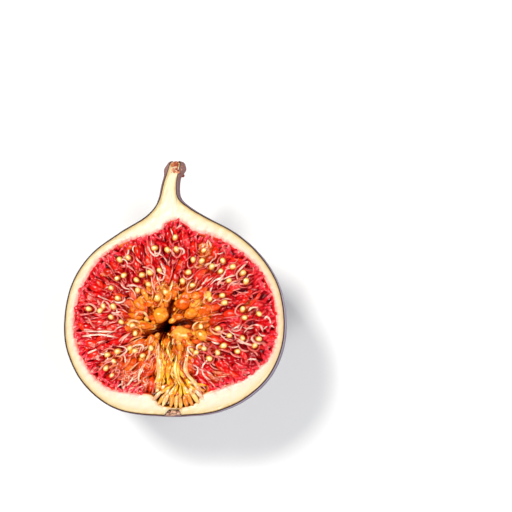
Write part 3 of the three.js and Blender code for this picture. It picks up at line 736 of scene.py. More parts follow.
def make_strands(pods, seeds):
    """Pale threads of the florets: capsule walls round the seeds, seams along the pods, and free curls."""
    soup = Soup()
    rng = np.random.RandomState(13)
    t = np.linspace(0, 1, 21)
    for points in PALE_THREADS:
        crest, radius = rng.uniform(-0.1, 0.15), rng.uniform(0.2, 0.32)
        beads = 1 + 0.25 * np.sin(rng.uniform(7, 13) * t)
        tone = rng.uniform(0.75, 1)
        path, warm = smooth_curve(points, 21), warmth(*points[1])
        lay(soup, path, crest, radius, beads, tone, warm, -0.6, 0.3, 0.45, 8)

    for i in range(ARCS["left"] + ARCS["right"]):
        side = -1 if i < ARCS["left"] else 1
        off = rng.uniform(0.5, 6.0)
        low, mid = rng.uniform(-1.2, 1.2), rng.uniform(-0.3, 0.3)
        points = [
            (14.8 + low, 7.8 + 0.5 * off),
            (9.6, 6.4 + 0.75 * off + mid),
            (6.2 + 0.4 * off, 9.2 + 0.5 * off),
            (5.6 + 0.5 * off, 13.2),
        ]
        path = smooth_curve([(side * x - 0.3 * (side < 0) + 0.3, y) for x, y in points], 40)
        first = rng.randint(0, 22)
        path = path[first : first + rng.randint(12, 19)]
        crest, radius = rng.uniform(-0.3, 0.1), rng.uniform(0.13, 0.28)
        lay(soup, path, crest, radius, 1, rng.uniform(0.2, 1), 0.4, -0.8, 0.4)

    # Pale unripe ovaries, like small blind pods.
    for i in range(70):
        angle = i * GOLDEN_ANGLE + rng.uniform(-0.3, 0.3)
        x, y = on_cut(angle, math.sqrt(rng.uniform(0.15, 0.92)) * pulp_reach(angle))
        if in_throat(x, y, 0.6) or min(math.dist((x, y), seed[:2]) for seed in seeds) < 1.5:
            continue
        size = rng.uniform(0.26, 0.5)
        centre = (x, y, rng.uniform(-0.5, 0.0))
        way = angle + rng.normal(0, 0.8)
        radii = (size * rng.uniform(1.1, 2.0), size, 0.8 * size)
        blob(soup, centre, radii, rng, 0.15, 0.6 * warmth(x, y), way, 2)

    for x, y, heading in seeds:
        if rng.uniform() < 0.85:
            capsule(soup, rng, x, y, heading)

    for x, y, heading, _, length, radius in pods:
        for side in (-1, 1):
            if rng.uniform() < 0.45:
                continue
            bend = rng.uniform(-0.9, 0.9) + 0.5 * side
            aside = np.array([-math.sin(heading), math.cos(heading)]) * side * radius
            long = length * rng.uniform(0.7, 1.5)
            start, curl = (x, y) + 0.95 * aside, rng.uniform(-0.3, 0.3)
            path, t = wander(start, heading + 0.12 * side, long, bend, curl, 15)
            crest, thin = rng.uniform(-0.4, 0.1), rng.uniform(0.14, 0.28)
            lay(soup, path, crest, thin, mix(1.25, 0.6, t), rng.uniform(), warmth(x, y))

    for _ in range(240):
        angle = rng.uniform(0, 2 * math.pi)
        x, y = on_cut(angle, math.sqrt(rng.uniform(0.16, 1.0)) * pulp_reach(angle))
        if in_throat(x, y, 0.6):
            continue
        heading = angle + math.pi + rng.normal(0, 0.5)
        length = rng.uniform(1.6, 4.6)
        path, _ = wander((x, y), heading, length, rng.uniform(-2.4, 2.4), rng.uniform(-0.6, 0.6), 15)
        path = path[[edge_distance(*p) > 0.1 for p in path]]
        if len(path) < 7:
            continue
        taper = mix(1.25, 0.6, np.linspace(0, 1, len(path)))
        crest, thin = rng.uniform(-0.3, 0.2), rng.uniform(0.1, 0.26)
        lay(soup, path, crest, thin, taper, rng.uniform(), warmth(x, y), flat=0.75)
    return soup


def make_fringe():
    """Short blunt pods along the pulp's edge that reach a little over the flesh and have pale tips."""
    soup = Soup()
    rng = np.random.RandomState(14)
    for point in smooth_curve(PULP_OUTLINE, 221, closed=True)[:-1]:
        if point[1] < 6.6 and abs(point[0] - 1) < 8.4:
            continue
        point = point + rng.normal(0, 0.2, 2)
        away = point - HEART
        heading = math.atan2(away[1], away[0]) + rng.normal(0, 0.6)
        length = rng.uniform(1.6, 4.2)
        reach = rng.uniform(-1.7, -0.25) + 0.5 * float(ripple(point, 5, 41))
        middle = point + reach * away / np.linalg.norm(away)
        path, t = wander(middle, heading, length, rng.uniform(-1.4, 1.4), rng.uniform(-0.3, 0.3), 12)
        radius = rng.uniform(0.24, 0.5)
        height = mix(-1.5, rng.uniform(-0.45, 0.0), smoothstep(0, 0.45, t)) - 0.5 * smoothstep(0.7, 1, t)
        radii = radius * arch(t, 0.55) * mix(0.9, 1.05, t)
        tube(soup, np.column_stack([path, height]), radii, 8, rng.uniform(), 0, 0.8)
    return soup


# Large amber lumps round the heart, as the cut shows them: place, half length, half width, heading.
GREAT_LUMPS = [
    (-3.3, 24.5, 2.1, 1.9, 0.3), (-7.0, 21.8, 1.9, 0.85, -0.15), (-5.9, 27.4, 1.1, 0.9, 0.5),
    (-4.0, 28.6, 1.2, 0.95, 1.2), (-1.4, 29.6, 1.25, 1.0, 1.5), (-5.7, 18.2, 1.7, 0.9, 1.35),
    (2.2, 27.4, 2.1, 1.7, 0.4), (5.2, 29.0, 1.25, 1.1, 0.0), (8.2, 29.2, 1.1, 0.95, 0.9),
    (7.6, 25.5, 1.8, 1.4, 0.7), (4.2, 24.8, 1.8, 1.3, 0.2), (1.7, 19.7, 2.4, 2.1, 0.1),
    (6.9, 19.4, 1.7, 1.3, -0.5), (1.0, 23.9, 1.2, 0.8, 0.1), (-8.6, 25.2, 1.4, 0.9, -0.3),
]


def make_lumps(lumps):
    """Amber lumps that crowd round the heart: large ones, the source's own, and small ones between them."""
    soup = Soup()
    rng = np.random.RandomState(15)
    for x, y, long, wide, turn in GREAT_LUMPS:
        centre = (x, y, min(0.35, 0.1 + 0.15 * wide) - 0.8 * wide)
        blob(soup, centre, (long, wide, 0.85 * wide), rng, 0.13, rng.uniform(0.5, 1), turn, 4)
    for (x, y), radius in lumps:
        turn = math.atan2(y - HEART[1], x - HEART[0]) + rng.normal(0, 0.4)
        centre = (x, y, rng.uniform(-0.2, 0.15) - 0.75 * radius)
        radii = (1.05 * radius, 0.75 * radius, 0.8 * radius)
        blob(soup, centre, radii, rng, 0.18, rng.uniform(0.2, 0.9), turn)
    for _ in range(170):
        angle = rng.uniform(0, 2 * math.pi)
        x, y = on_cut(angle, rng.uniform(2.2, 10.5))
        on_great = any(math.hypot(x - a, y - b) < 0.9 * wide for a, b, _, wide, _ in GREAT_LUMPS)
        if on_great or in_throat(x, y, -0.6):
            continue
        if min(distance([(x, y)], smooth_curve(path, 60))[0] for path, _ in CLEFTS) < 0.75:
            continue
        size = rng.uniform(0.32, 0.75)
        centre = (x, y, rng.uniform(-0.75, -0.05) - 0.5 * size)
        radii = (size * rng.uniform(1, 1.9), size, 0.9 * size)
        blob(soup, centre, radii, rng, 0.2, rng.uniform(0, 1), angle, 2)
    return soup


def throat_line(side, top, foot):
    """A line down the throat: side runs from 0 at its left to 1 at its right, and the foot spreads."""
    waist = mix(-3.3, 2.9, side)
    return smooth_curve([
        (mix(-4.3, 3.4, side) + 0.2, top),
        (mix(waist, mix(-4.0, 3.2, side), 0.5), mix(top, 11, 0.55)),
        (waist, 10.8),
        (mix(-3.9, 4.9, side), 8.0),
        (mix(-4.8, 7.6, side), foot),
    ], 26)


def make_throat():
    """Amber folds that hang side by side from the heart down to the eye, with finer threads over them."""
    soup = Soup()
    rng = np.random.RandomState(16)
    broad_folds = 17
    for i in range(60):
        broad = i < broad_folds
        side = (i + 0.5) / broad_folds if broad else rng.uniform(0.02, 0.98)
        side = float(np.clip(side + rng.uniform(-0.03, 0.03), 0.02, 0.98))
        path = throat_line(side, rng.uniform(15.5, 20), rng.uniform(4.6, 6.2))
        first = 0 if broad else rng.randint(0, 12)
        path = path[first : first + (len(path) if broad else rng.randint(9, 15))]
        t = np.linspace(0, 1, len(path))
        path[:, 0] += rng.uniform(0.15, 0.5) * np.sin(t * rng.uniform(4, 11) + rng.uniform(0, 6))
        radius = rng.uniform(0.32, 0.56) if broad else rng.uniform(0.12, 0.3)
        crest = rng.choice([-0.3, -0.75, -1.5]) if broad else rng.uniform(-0.4, 0.15)
        height = mix(-1.9, crest, arch(t, 0.4)) + 0.12 * np.sin(t * rng.uniform(9, 20))
        radii = radius * arch(t, 0.4) * (1 + 0.32 * np.sin(t * rng.uniform(14, 30)))
        tube(soup, np.column_stack([path, height]), radii, 10, rng.uniform(), 1)
    return soup


def make_borders():
    """The pale walls on either side of the throat, which part it from the red pulp."""
    soup = Soup()
    rng = np.random.RandomState(18)
    for side in (-0.05, 0.02, 1.0, 1.06):
        path = throat_line(side, rng.uniform(17, 19), rng.uniform(4.4, 5.4))
        beads = 1 + 0.25 * np.sin(np.linspace(0, 1, len(path)) * 17 + side)
        lay(soup, path, 0.0, rng.uniform(0.26, 0.38), beads, rng.uniform(0.5, 1), 0.95, -1.2, 0.4, 0.4, 8)
    return soup


def make_bracts():
    """Bracts that spread like a skirt from the throat's foot, in two layers, with dark gaps between."""
    soup = Soup()
    rng = np.random.RandomState(17)
    steps = 16
    t = np.linspace(0, 1, steps)
    layers = [(13, 5.9, -0.5, (0.1, 0.8), 0.42), (9, 4.2, -0.2, (0.5, 1.0), 0.46)]
    for count, length, crest, tones, radius in layers:
        for i in range(count):
            heading = math.radians(mix(-155, -18, (i + rng.uniform(-0.2, 0.2) + 0.5) / count))
            long = length * rng.uniform(0.92, 1.06)
            start = np.array(FAN_ROOT) + rng.normal(0, 0.2, 2) + [0.35 + 0.9 * math.cos(heading), 0.4]
            way = heading + 0.35 * math.cos(heading) * (t - 0.3) + rng.uniform(-0.25, 0.25) * t
            step = np.stack([np.cos(way), np.sin(way)], -1) * long / (steps - 1)
            path = start + np.cumsum(step, axis=0)
            over_edge = 0.28 * smoothstep(0.6, -0.6, [edge_distance(*p) for p in path])
            height = mix(-1.6, crest, arch(t**1.4, 0.5)) + over_edge * smoothstep(0.3, 0.8, t)
            radii = radius * rng.uniform(0.8, 1.15) * arch(t**2.2, 0.6)
            tube(soup, np.column_stack([path, height]), radii, 12, rng.uniform(*tones), 1, 0.8)
    return soup


def make_bract_tips():
    """The lowest bracts, a row of pale blunt fingers along the eye's rim that lap over the flesh."""
    soup = Soup()
    rng = np.random.RandomState(19)
    middle, root = 1.3, 10.5
    count = 10
    for i in range(count):
        across = (2 * (i + 0.5) / count - 1) * 1.02
        x, y = middle + 5.7 * across + rng.normal(0, 0.1), 3.35 + 1.9 * across**2 + rng.normal(0, 0.12)
        long, wide = rng.uniform(1.4, 1.75), rng.uniform(0.5, 0.62)
        turn = math.atan2(y - root, x - middle)
        blob(soup, (x, y, rng.uniform(-0.2, 0.0)), (long, wide, 0.5), rng, 0.12, 1.0, turn)
    for _ in range(26):
        across = rng.uniform(-1, 1)
        x, y = middle + 5.2 * across, 4.6 + 1.6 * across**2 + rng.uniform(-0.2, 1.6)
        size = rng.uniform(0.22, 0.42)
        centre = (x, y, rng.uniform(-0.35, 0.0))
        turn = math.atan2(y - root, x - middle)
        blob(soup, centre, (size * rng.uniform(1.2, 2.2), size, size), rng, 0.15, 1.0, turn, 2)
    return soup


# Materials


def linear(colour):
    """The linear colour of an sRGB hex value."""
    values = [int(colour[i : i + 2], 16) / 255 for i in (1, 3, 5)]
    return (*[v / 12.92 if v <= 0.04045 else ((v + 0.055) / 1.055) ** 2.4 for v in values], 1.0)


def grain(size):
    """The scale of a pattern whose grain is so many millimetres."""
    return 1 / (size * MM)


def node(tree, kind, inputs=None, stops=None, **settings):
    """Adds a node with its settings, its values and links, and the stops of its colour ramp."""
    made = tree.nodes.new("ShaderNode" + kind)
    for name, value in settings.items():
        setattr(made, name, value)
    for socket, value in (inputs or {}).items():
        if isinstance(value, bpy.types.NodeSocket):
            tree.links.new(value, made.inputs[socket])
        else:
            made.inputs[socket].default_value = linear(value) if isinstance(value, str) else value
    if stops:
        points = made.color_ramp.elements
        while len(points) < len(stops):
            points.new(1.0)
        for point, (place, colour) in zip(points, stops):
            point.position, point.color = place, linear(colour)
    return made.outputs


A, B, BLEND = 6, 7, 2  # the colour sockets of a Mix node
LOW, HIGH, LEAST, MOST = 1, 2, 3, 4  # the sockets of a Map Range node, after its value


def material(name, **finish):
    """A material whose even finish is on the shader's own sockets, and what its patterns start from.

    That is the node function on its tree, the piece's marks, whole and in parts, the place in the scene,
    and the way that the surface faces.
    """
    made = bpy.data.materials.new(name)
    made.use_nodes = True
    for socket, value in finish.items():
        made.node_tree.nodes["Principled BSDF"].inputs[socket.replace("_", " ")].default_value = value
    add = partial(node, made.node_tree)
    marks = add("Attribute", attribute_name="marks")["Vector"]
    spot = add("TexCoord")
    return made, add, marks, add("SeparateXYZ", {0: marks}), spot["Object"], spot["Normal"]


def dress(made, colour, tints, height, strength, rise, rough=None):
    """Finishes a material: its colour, the tints that lie over it by their shares, and its relief in mm.

    Its roughness is given only where that varies.
    """
    tree = made.node_tree
    for share, tint in tints:
        colour = node(tree, "Mix", {0: share, A: colour, B: tint}, data_type="RGBA")[BLEND]
    bump = node(tree, "Bump", {"Height": height, "Strength": strength, "Distance": rise * MM})[0]
    for socket, value in (("Base Color", colour), ("Normal", bump), ("Roughness", rough)):
        if value is not None:
            tree.links.new(value, tree.nodes["Principled BSDF"].inputs[socket])
    return made


def skin_material():
    """Ripe dark fig skin, as it grew: thin and waxy, so it is satin, and duller where bloom lies.

    It is streaked lengthwise, dusty in clouds, sprinkled with pale specks, with a painted sheen under the
    cut edge.
    The neck is browner and the edge of the cut nearly black.
    """
    made, add, marks, part, place, _ = material("fig_skin_with_bloom", Specular_IOR_Level=0.25)
    lengthwise = add("VectorMath", {0: marks, 1: (1.1, 0.07, 0)}, operation="MULTIPLY")[0]
    streaks = add("TexNoise", {"Vector": lengthwise, "Scale": 1.0, "Detail": 6.0, "Roughness": 0.62})["Fac"]
    clouds = add("TexNoise", {"Vector": place, "Scale": grain(9), "Detail": 4.0, "Roughness": 0.6})["Fac"]
    stops = [(0.3, "#241526"), (0.5, "#402a38"), (0.62, "#5a3a48"), (0.75, "#765254")]
    base = add("ValToRGB", {0: streaks}, stops)[0]
    dust = add("Math", {0: streaks, 1: clouds}, operation="ADD")[0]
    bloom = add("MapRange", {0: dust, LOW: 0.78, HIGH: 1.22, MOST: 0.72})[0]
    height = add("SeparateXYZ", {0: place})["Z"]
    cut = float(FIG_ORIGIN[2])
    # Painted sheen: a pale lilac band just under the cut edge, where the skin's side catches light.
    at_rim = add("MapRange", {0: height, LOW: cut - 2.2 * MM, HIGH: cut - 0.3 * MM, MOST: 0.6})[0]
    spots = add("TexVoronoi", {"Vector": place, "Scale": grain(1.9), "Randomness": 1.0})
    speck = add("MapRange", {0: spots["Distance"], LOW: 0.17, HIGH: 0.1})[0]
    chosen = add("SeparateXYZ", {0: spots["Color"]})["X"]
    some = add("Math", {0: chosen, 1: 0.62}, operation="GREATER_THAN")[0]
    specks = add("Math", {0: speck, 1: some}, operation="MULTIPLY")[0]
    faint = add("Math", {0: specks, 1: 0.55}, operation="MULTIPLY")[0]
    neck = add("MapRange", {0: part["Y"], LOW: 49.0, HIGH: 58.0, MOST: 0.85})[0]
    eye = add("MapRange", {0: part["Y"], LOW: 1.6, HIGH: 0.2, MOST: 0.6})[0]
    edge = add("MapRange", {0: part["Z"], LOW: 0.02, HIGH: 0.3})[0]
    # The pale lilac at the rim is painted sheen; bloom, specks, neck, eye and edge are the skin's own
    # colours.
    tints = [(bloom, "#84768f"), (at_rim, "#b3a3bd"), (faint, "#cdb9a0")]
    tints += [(neck, "#7e5244"), (eye, "#9a7078"), (edge, "#2c0e06")]
    rough = add("MapRange", {0: bloom, LEAST: 0.36, MOST: 0.62})[0]
    fine = add("TexNoise", {"Vector": place, "Scale": grain(0.6), "Detail": 3.0})["Fac"]
    relief = add("Math", {0: streaks, 1: fine}, operation="ADD")[0]
    raised = add("Math", {0: relief, 1: specks}, operation="ADD")[0]
    return dress(made, base, tints, raised, 0.25, 0.2, rough)


def flesh_material():
    """Moist fig flesh, cut by a knife: cream and a little translucent, with a soft shine.

    It is yellower under the skin, has fine lengthwise fibres, and is stained red where it meets the pulp, or
    tawny beside the bracts.
    """
    made, add, marks, part, place, _ = material(
        "cut_fig_flesh", Roughness=0.34, Subsurface_Weight=0.35, Subsurface_Radius=(1.0, 0.7, 0.4),
        Subsurface_Scale=2 * MM,
    )
    uneven = add("TexNoise", {"Vector": place, "Scale": grain(2), "Detail": 3.0})["Fac"]
    depth = add("Math", {0: uneven, 1: 0.35, 2: part["Y"]}, operation="MULTIPLY_ADD")[0]
    scaled = add("MapRange", {0: depth, LOW: 0.1, HIGH: 4.0})[0]
    stops = [(0.0, "#7e5226"), (0.05, "#c8a468"), (0.16, "#dcc594"), (0.4, "#e3d4b8"), (1.0, "#e8ddca")]
    cream = add("ValToRGB", {0: scaled}, stops)[0]
    stretch = (grain(0.9), grain(14), grain(0.9))
    drawn_out = add("VectorMath", {0: place, 1: stretch}, operation="MULTIPLY")[0]
    fine = add("TexNoise", {"Vector": drawn_out, "Scale": 1.0, "Detail": 4.0})["Fac"]
    streak = add("MapRange", {0: fine, LOW: 0.5, HIGH: 0.75, MOST: 0.35})[0]
    cream = add("Mix", {0: streak, A: cream, B: "#e2d090"}, data_type="RGBA")[BLEND]
    outward = add("VectorMath", {0: marks, 1: (1.3, 0.0, 0.3)}, operation="MULTIPLY")[0]
    fibres = add("TexNoise", {"Vector": outward, "Scale": 1.0, "Detail": 5.0, "Roughness": 0.6})["Fac"]
    stain = add("Math", {0: fibres, 1: -2.6, 2: part["Z"]}, operation="MULTIPLY_ADD")[0]
    red = add("MapRange", {0: stain, LOW: -0.35, HIGH: -2.2})[0]
    pink = add("MapRange", {0: stain, LOW: 0.9, HIGH: -1.1, MOST: 0.5})[0]
    spot = add("SeparateXYZ", {0: place})
    aside = add("Math", {0: spot["X"], 1: FIG_ORIGIN[0] + MM}, operation="SUBTRACT")[0]
    off = add("Math", {0: aside}, operation="ABSOLUTE")[0]
    by_side = add("MapRange", {0: off, LOW: 9.6 * MM, HIGH: 7.6 * MM})[0]
    fan_top = FIG_ORIGIN[1] + 9 * MM
    by_height = add("MapRange", {0: spot["Y"], LOW: fan_top, HIGH: fan_top - 2.5 * MM})[0]
    by_fan = add("Math", {0: by_side, 1: by_height}, operation="MULTIPLY")[0]
    tawny = add("Mix", {0: red, A: cream, B: "#f2b04a"}, data_type="RGBA")[BLEND]
    tints = [(pink, "#f7b9a6"), (red, "#e63648"), (by_fan, tawny)]
    along = add("VectorMath", {0: place, 1: (grain(0.5), grain(7), grain(0.5))}, operation="MULTIPLY")[0]
    lines = add("TexNoise", {"Vector": along, "Scale": 1.0, "Detail": 4.0})["Fac"]
    return dress(made, cream, tints, lines, 0.2, 0.15)


# Juice lies over the pulp as a clear film, so highlights are small and sharp over soft, glowing tissue.
WET = {
    "Roughness": 0.3,
    "Specular_IOR_Level": 0.0,
    "Coat_Weight": 1.0,
    "Coat_Roughness": 0.04,
    "Subsurface_Weight": 0.2,
    "Subsurface_Radius": (1.0, 0.25, 0.15),
    "Subsurface_Scale": 1 * MM,
}


def pulp_material(name, crimson, amber, tone_spread, flank_shade, crest=None, ends=None, **finish):
    """Wet fig pulp, from crimson to amber by its warmth, each pod or thread in a tone of its own.

    Flanks that face sideways are darkened as painted shade, and random blotches are darker in colour. Crests
    and ends have a colour of their own where one is given: a painted pale highlight on the up-facing crests,
    red where a thread sinks into the pulp. The mottle is drawn at 1.1 mm, coarser than the real cells, so
    that it shows.
    """
    made, add, _, part, place, normal = material(name, **{**WET, **finish})
    cool = add("ValToRGB", {0: part["X"]}, crimson)[0]
    warm = add("ValToRGB", {0: part["X"]}, amber)[0]
    blur = add("TexNoise", {"Vector": place, "Scale": grain(3.3), "Detail": 2.0})["Fac"]
    warmer = add("Math", {0: blur, 1: tone_spread, 2: part["Z"]}, operation="MULTIPLY_ADD")[0]
    share = add("MapRange", {0: warmer, LOW: 0.35, HIGH: 1.05})[0]
    colour = add("Mix", {0: share, A: cool, B: warm}, data_type="RGBA")[BLEND]
    mottle = add("TexNoise", {"Vector": place, "Scale": grain(1.1), "Detail": 4.0, "Roughness": 0.65})["Fac"]
    # Painted shade: surfaces that face sideways rather than up are darkened, by up to flank_shade; random
    # blotches darken too.
    facing = add("SeparateXYZ", {0: normal})["Z"]
    side = add("MapRange", {0: facing, LOW: 0.85, HIGH: 0.2, MOST: flank_shade})[0]
    blotch = add("MapRange", {0: mottle, LOW: 0.58, HIGH: 0.36, MOST: 0.6})[0]
    dark = add("Math", {0: side, 1: blotch}, operation="MAXIMUM")[0]
    shade_and_blotch_colour = add("Mix", {0: 1.0, A: colour, B: "#c83018"}, data_type="RGBA", blend_type="MULTIPLY")[BLEND]
    tints = [(dark, shade_and_blotch_colour)]
    # Painted highlight: patches of the up-facing crests are turned pale.
    if crest:
        film = add("TexNoise", {"Vector": place, "Scale": grain(2.4), "Detail": 2.0})["Fac"]
        up_facing_glint = add("MapRange", {0: facing, LOW: 0.955, HIGH: 0.995})[0]
        here = add("MapRange", {0: film, LOW: 0.5, HIGH: 0.62, MOST: 0.6})[0]
        tints.append((add("Math", {0: up_facing_glint, 1: here}, operation="MULTIPLY")[0], crest))
    if ends:
        centred = add("Math", {0: part["Y"], 1: 0.5}, operation="SUBTRACT")[0]
        from_middle = add("Math", {0: centred}, operation="ABSOLUTE")[0]
        tints.append((add("MapRange", {0: from_middle, LOW: 0.25, HIGH: 0.47, MOST: 0.8})[0], ends))
    return dress(made, colour, tints, mottle, 0.35, 0.3)


def bed_material():
    """The wet tissue under the pods: crimson folds, with painted shade deep red between them and near black
    in the heart.
    """
    made, add, _, part, place, _ = material("wet_pulp_bed", **WET)
    mottle = add("TexNoise", {"Vector": place, "Scale": grain(1.4), "Detail": 5.0, "Roughness": 0.6})["Fac"]
    tone = add("Math", {0: mottle, 1: 0.7, 2: part["X"]}, operation="MULTIPLY_ADD")[0]
    red = add("ValToRGB", {0: tone}, [(0.3, "#6a0008"), (0.75, "#c60414"), (1.1, "#e81c26")])[0]
    amber = add("ValToRGB", {0: tone}, [(0.3, "#8a2202"), (0.75, "#e06608"), (1.1, "#fab438")])[0]
    # The tone's darkness by height and the near-black tint are painted shade; the amber tint is the pulp's
    # own colour.
    return dress(made, red, [(part["Z"], amber), (part["Y"], "#4a0a04")], mottle, 0.2, 0.3)


def floret_material():
    """Swollen pods full of juice: crimson, orange near the heart, with painted shade on flanks and a painted
    pink highlight on crests.
    """
    crimson = [(0.0, "#980008"), (0.3, "#c40008"), (0.6, "#e60606"), (0.85, "#f62c08"), (1.0, "#ee3040")]
    amber = [(0.0, "#d83c04"), (0.35, "#f2640a"), (0.7, "#f88e18"), (1.0, "#fcb840")]
    return pulp_material("wet_crimson_floret", crimson, amber, 0.5, 0.9, "#ff9c88")


def strand_material():
    """Thin pale tissue, cut or torn: pink to cream, red again where its ends sink into the pulp, with
    painted shade on its flanks.
    """
    crimson = [(0.0, "#d81c28"), (0.4, "#ea5a54"), (0.7, "#f59a88"), (1.0, "#fedcc4")]
    amber = [(0.0, "#e06c1c"), (0.5, "#f4ac52"), (1.0, "#ffe2a8")]
    finish = {"Subsurface_Radius": (1.0, 0.6, 0.5), "Roughness": 0.26}
    return pulp_material("pale_pulp_thread", crimson, amber, 0.4, 0.4, ends="#dc2a24", **finish)


def lump_material():
    """Ripe amber lumps, glassy like jam, so light glows through them; painted pale highlights on tops,
    painted shade on flanks.
    """
    crimson = [(0.0, "#e04806"), (0.4, "#f07410"), (0.75, "#f89626"), (1.0, "#fcc258")]
    amber = [(0.0, "#e65c06"), (0.4, "#f58a16"), (0.75, "#fba92e"), (1.0, "#fed468")]
    finish = {"Subsurface_Radius": (1.0, 0.5, 0.15), "Subsurface_Weight": 0.35}
    return pulp_material("amber_pulp_lump", crimson, amber, 0.5, 0.7, "#ffdf9c", **finish)


def bract_tip_material():
    """Blunt ends of the bracts, drier than the pulp: pale straw, with amber between them and painted shade
    on their flanks.
    """
    amber = [(0.0, "#f0a038"), (0.3, "#f6c468"), (0.65, "#f9dc98"), (1.0, "#fcecc0")]
    return pulp_material("pale_bract_tip", amber, amber, 0.5, 0.6, Subsurface_Radius=(1.0, 0.7, 0.4))


def throat_material():
    """Wet folds and bracts of the throat: golden to burnt orange, with painted shade on flanks, painted
    highlight on crests.
    """
    crimson = [(0.0, "#e05408"), (0.5, "#f28f14"), (1.0, "#fcc850")]
    amber = [(0.0, "#c84402"), (0.25, "#ee8006"), (0.6, "#fcb61c"), (0.85, "#ffd84a"), (1.0, "#fff0a8")]
    finish = {"Subsurface_Radius": (1.0, 0.6, 0.2), "Subsurface_Weight": 0.1}
    return pulp_material("amber_throat_fold", crimson, amber, 0.5, 1.0, "#fff0b8", **finish)


def fringe_material():
    """Pods at the pulp's edge: crimson at their root, pink and then cream where they run into the flesh."""
    made, add, _, part, place, _ = material("pale_tipped_pod", **{**WET, "Roughness": 0.28})
    further = add("Math", {0: part["X"], 1: 0.3, 2: part["Y"]}, operation="MULTIPLY_ADD")[0]
    stops = [(0.0, "#b4000a"), (0.45, "#d80a18"), (0.75, "#e82a3a"), (0.95, "#ee5c62"), (1.0, "#f5a08e")]
    mottle = add("TexNoise", {"Vector": place, "Scale": grain(0.8), "Detail": 3.0})["Fac"]
    return dress(made, add("ValToRGB", {0: further}, stops)[0], [], mottle, 0.5, 0.3)


def seed_material():
    """Fig seeds, hard and smooth under a film of juice, so each has a sharp highlight.

    They are pale yellow and browner towards the tip, amber round the edge as painted shade and cream on top
    as a painted highlight. Their pits are drawn at 0.4 mm, coarser than the real ones, so that they show.
    """
    made, add, _, part, place, normal = material(
        "hard_yellow_seed", Roughness=0.25, Coat_Weight=1.0, Coat_Roughness=0.04, Subsurface_Weight=0.2,
        Subsurface_Radius=(1.0, 0.7, 0.3), Subsurface_Scale=0.6 * MM,
    )
    along = add("Math", {0: part["X"], 1: 0.25, 2: part["Y"]}, operation="MULTIPLY_ADD")[0]
    stops = [(0.0, "#f3a63c"), (0.3, "#fad070"), (0.65, "#f6bd56"), (0.95, "#ea8c28"), (1.0, "#c85e12")]
    colour = add("ValToRGB", {0: along}, stops)[0]
    pits = add("TexNoise", {"Vector": place, "Scale": grain(0.4), "Detail": 2.0})["Fac"]
    pitted = add("MapRange", {0: pits, LOW: 0.6, HIGH: 0.4, MOST: 0.35})[0]
    # Painted light: sides turn amber as painted shade, and up-facing tops cream as a painted highlight.
    facing = add("SeparateXYZ", {0: normal})["Z"]
    edge = add("MapRange", {0: facing, LOW: 0.9, HIGH: 0.4, MOST: 0.95})[0]
    crown_highlight = add("MapRange", {0: facing, LOW: 0.9, HIGH: 1.0, MOST: 0.6})[0]
    tints = [(pitted, "#f0a030"), (edge, "#b84a06"), (crown_highlight, "#ffefc4")]
    return dress(made, colour, tints, pits, 0.15, 0.1)


def dry_material(name, stops, crumb_size):
    """Dry plant tissue, broken or withered: rough and matt, in a few browns, crumbly to the eye."""
    made, add, _, part, place, _ = material(name, Roughness=0.7, Specular_IOR_Level=0.3)
    crumbly = {"Vector": place, "Scale": grain(crumb_size), "Detail": 5.0, "Roughness": 0.7}
    crumb = add("TexNoise", crumbly)["Fac"]
    mixed = add("Math", {0: part["X"], 1: 0.45, 2: crumb}, operation="MULTIPLY_ADD")[0]
    shade = add("Math", {0: mixed, 1: 0.2}, operation="SUBTRACT")[0]
    return dress(made, add("ValToRGB", {0: shade}, stops)[0], [], crumb, 0.6, 0.3)


def floor_material():
    """A painted white tabletop, matt, with the faintest clouds."""
    made, add, _, _, place, _ = material("matt_white_tabletop", Roughness=0.65, Specular_IOR_Level=0.2)
    cloud = add("TexNoise", {"Vector": place, "Scale": grain(110), "Detail": 2.0})["Fac"]
    colour = add("ValToRGB", {0: cloud}, [(0.3, "#f4f4f2"), (0.7, "#f8f8f7")])[0]
    return dress(made, colour, [], cloud, 0.0, 0.1)


# The fig

draws = Draws(RANDOM_START)
pods, seeds = grow_florets(draws)
skip_throat_draws(draws)
lumps = grow_lumps(draws)
stem_browns = [(0.2, "#54180e"), (0.42, "#9a4426"), (0.58, "#cc7a4c"), (0.8, "#f2cfae")]
scale_browns = [(0.2, "#7e5048"), (0.45, "#b58470"), (0.65, "#d6aa8c"), (0.85, "#ecceae")]
stem_end = dry_material("dry_stem_end", stem_browns, 1.1)
eye_scale = dry_material("eye_scale", scale_browns, 1.4)

piece("skin", make_skin(), skin_material(), "rind", weld=0.004)
piece("flesh", make_flesh(), flesh_material(), "rind", weld=0.004)
piece("stem_end", make_stem_cap(), stem_end, "rind")
piece("eye_scales", make_eye(), eye_scale, "rind")
piece("pulp_bed", make_bed(seeds), bed_material(), "pulp", weld=0.004)
piece("florets", make_florets(pods, seeds), floret_material(), "pulp")
piece("fringe", make_fringe(), fringe_material(), "pulp")
piece("seeds", make_seeds(seeds), seed_material(), "pulp")
piece("threads", make_strands(pods, seeds), strand_material(), "pulp")
piece("heart_lumps", make_lumps(lumps), lump_material(), "pulp")
piece("throat_folds", make_throat(), throat_material(), "pulp")
piece("bracts", make_bracts(), throat_material(), "pulp")
piece("bract_tips", make_bract_tips(), bract_tip_material(), "pulp")
piece("throat_walls", make_borders(), strand_material(), "pulp")

# Floor, light and camera

FLOOR_REACH = 3.0  # metres
floor_mesh = bpy.data.meshes.new("floor")
corners = [(-1, -1, 0), (1, -1, 0), (1, 1, 0), (-1, 1, 0)]
floor_mesh.from_pydata([tuple(FLOOR_REACH * c for c in corner) for corner in corners], [], [(0, 1, 2, 3)])
floor_mesh.materials.append(floor_material())
floor = bpy.data.objects.new("floor", floor_mesh)
bpy.context.scene.collection.objects.link(floor)


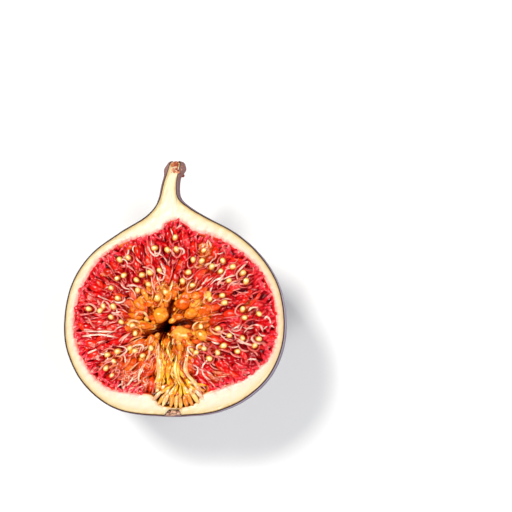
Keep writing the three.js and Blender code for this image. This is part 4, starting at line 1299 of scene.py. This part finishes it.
def softbox(name, place, size, watts, colour):
    """A square studio light that faces the fruit."""
    lamp = bpy.data.lights.new(name, "AREA")
    lamp.size, lamp.energy, lamp.color = size, watts, linear(colour)[:3]
    made = bpy.data.objects.new(name, lamp)
    made.location = place
    made.rotation_euler = (Vector((0, 0, 0.02)) - Vector(place)).to_track_quat("-Z", "Y").to_euler()
    bpy.context.scene.collection.objects.link(made)


softbox("key_light", (-0.23, 0.24, 0.6), 0.2, 3.9, "#fffcf8")
softbox("fill_light", (0.35, -0.1, 0.6), 0.2, 1.4, "#f6f9ff")
softbox("side_light", (0.55, 0.02, 0.14), 0.4, 1.9, "#ffffff")
softbox("front_light", (-0.2, -0.5, 0.45), 0.2, 2.0, "#ffffff")

world = bpy.data.worlds.new("studio")
world.use_nodes = True
world.node_tree.nodes["Background"].inputs["Color"].default_value = linear("#f4f6fa")
world.node_tree.nodes["Background"].inputs["Strength"].default_value = 0.12
bpy.context.scene.world = world
bpy.context.scene.view_settings.view_transform = "Standard"

# The photograph looks at the cut from a little to its right and towards the blunt end, through a long lens.
PHOTO_SIZE = 512
MM_PER_PIXEL = 0.243
PHOTO_CENTRE = np.array([19.98, 38.5, 0.0])  # the fig's own place at the middle of the photograph
FRUIT_MIDDLE = np.array([0.3, 31.0, 0.0])
TO_THE_RIGHT = math.radians(8.5)
TO_THE_EYE = math.radians(7)
LENS = 100
SENSOR = 36

reach = PHOTO_SIZE * MM_PER_PIXEL * MM / SENSOR * LENS
upward = math.cos(TO_THE_RIGHT) * math.cos(TO_THE_EYE)
towards = Vector((math.sin(TO_THE_RIGHT), -math.sin(TO_THE_EYE), upward))
eye_point = Vector(FRUIT_MIDDLE * MM + FIG_ORIGIN) + towards.normalized() * reach
aim = Vector(PHOTO_CENTRE * MM + FIG_ORIGIN)
back = (eye_point - aim).normalized()
right_way = Vector((0, 1, 0)).cross(back).normalized()
turned = Matrix((right_way, back.cross(right_way), back)).transposed().to_4x4()
lens = bpy.data.cameras.new("camera")
lens.lens, lens.sensor_width, lens.clip_start = LENS, SENSOR, 0.01
camera = bpy.data.objects.new("camera", lens)
camera.matrix_world = Matrix.Translation(eye_point) @ turned
bpy.context.scene.collection.objects.link(camera)
bpy.context.scene.camera = camera

bpy.context.view_layer.update()
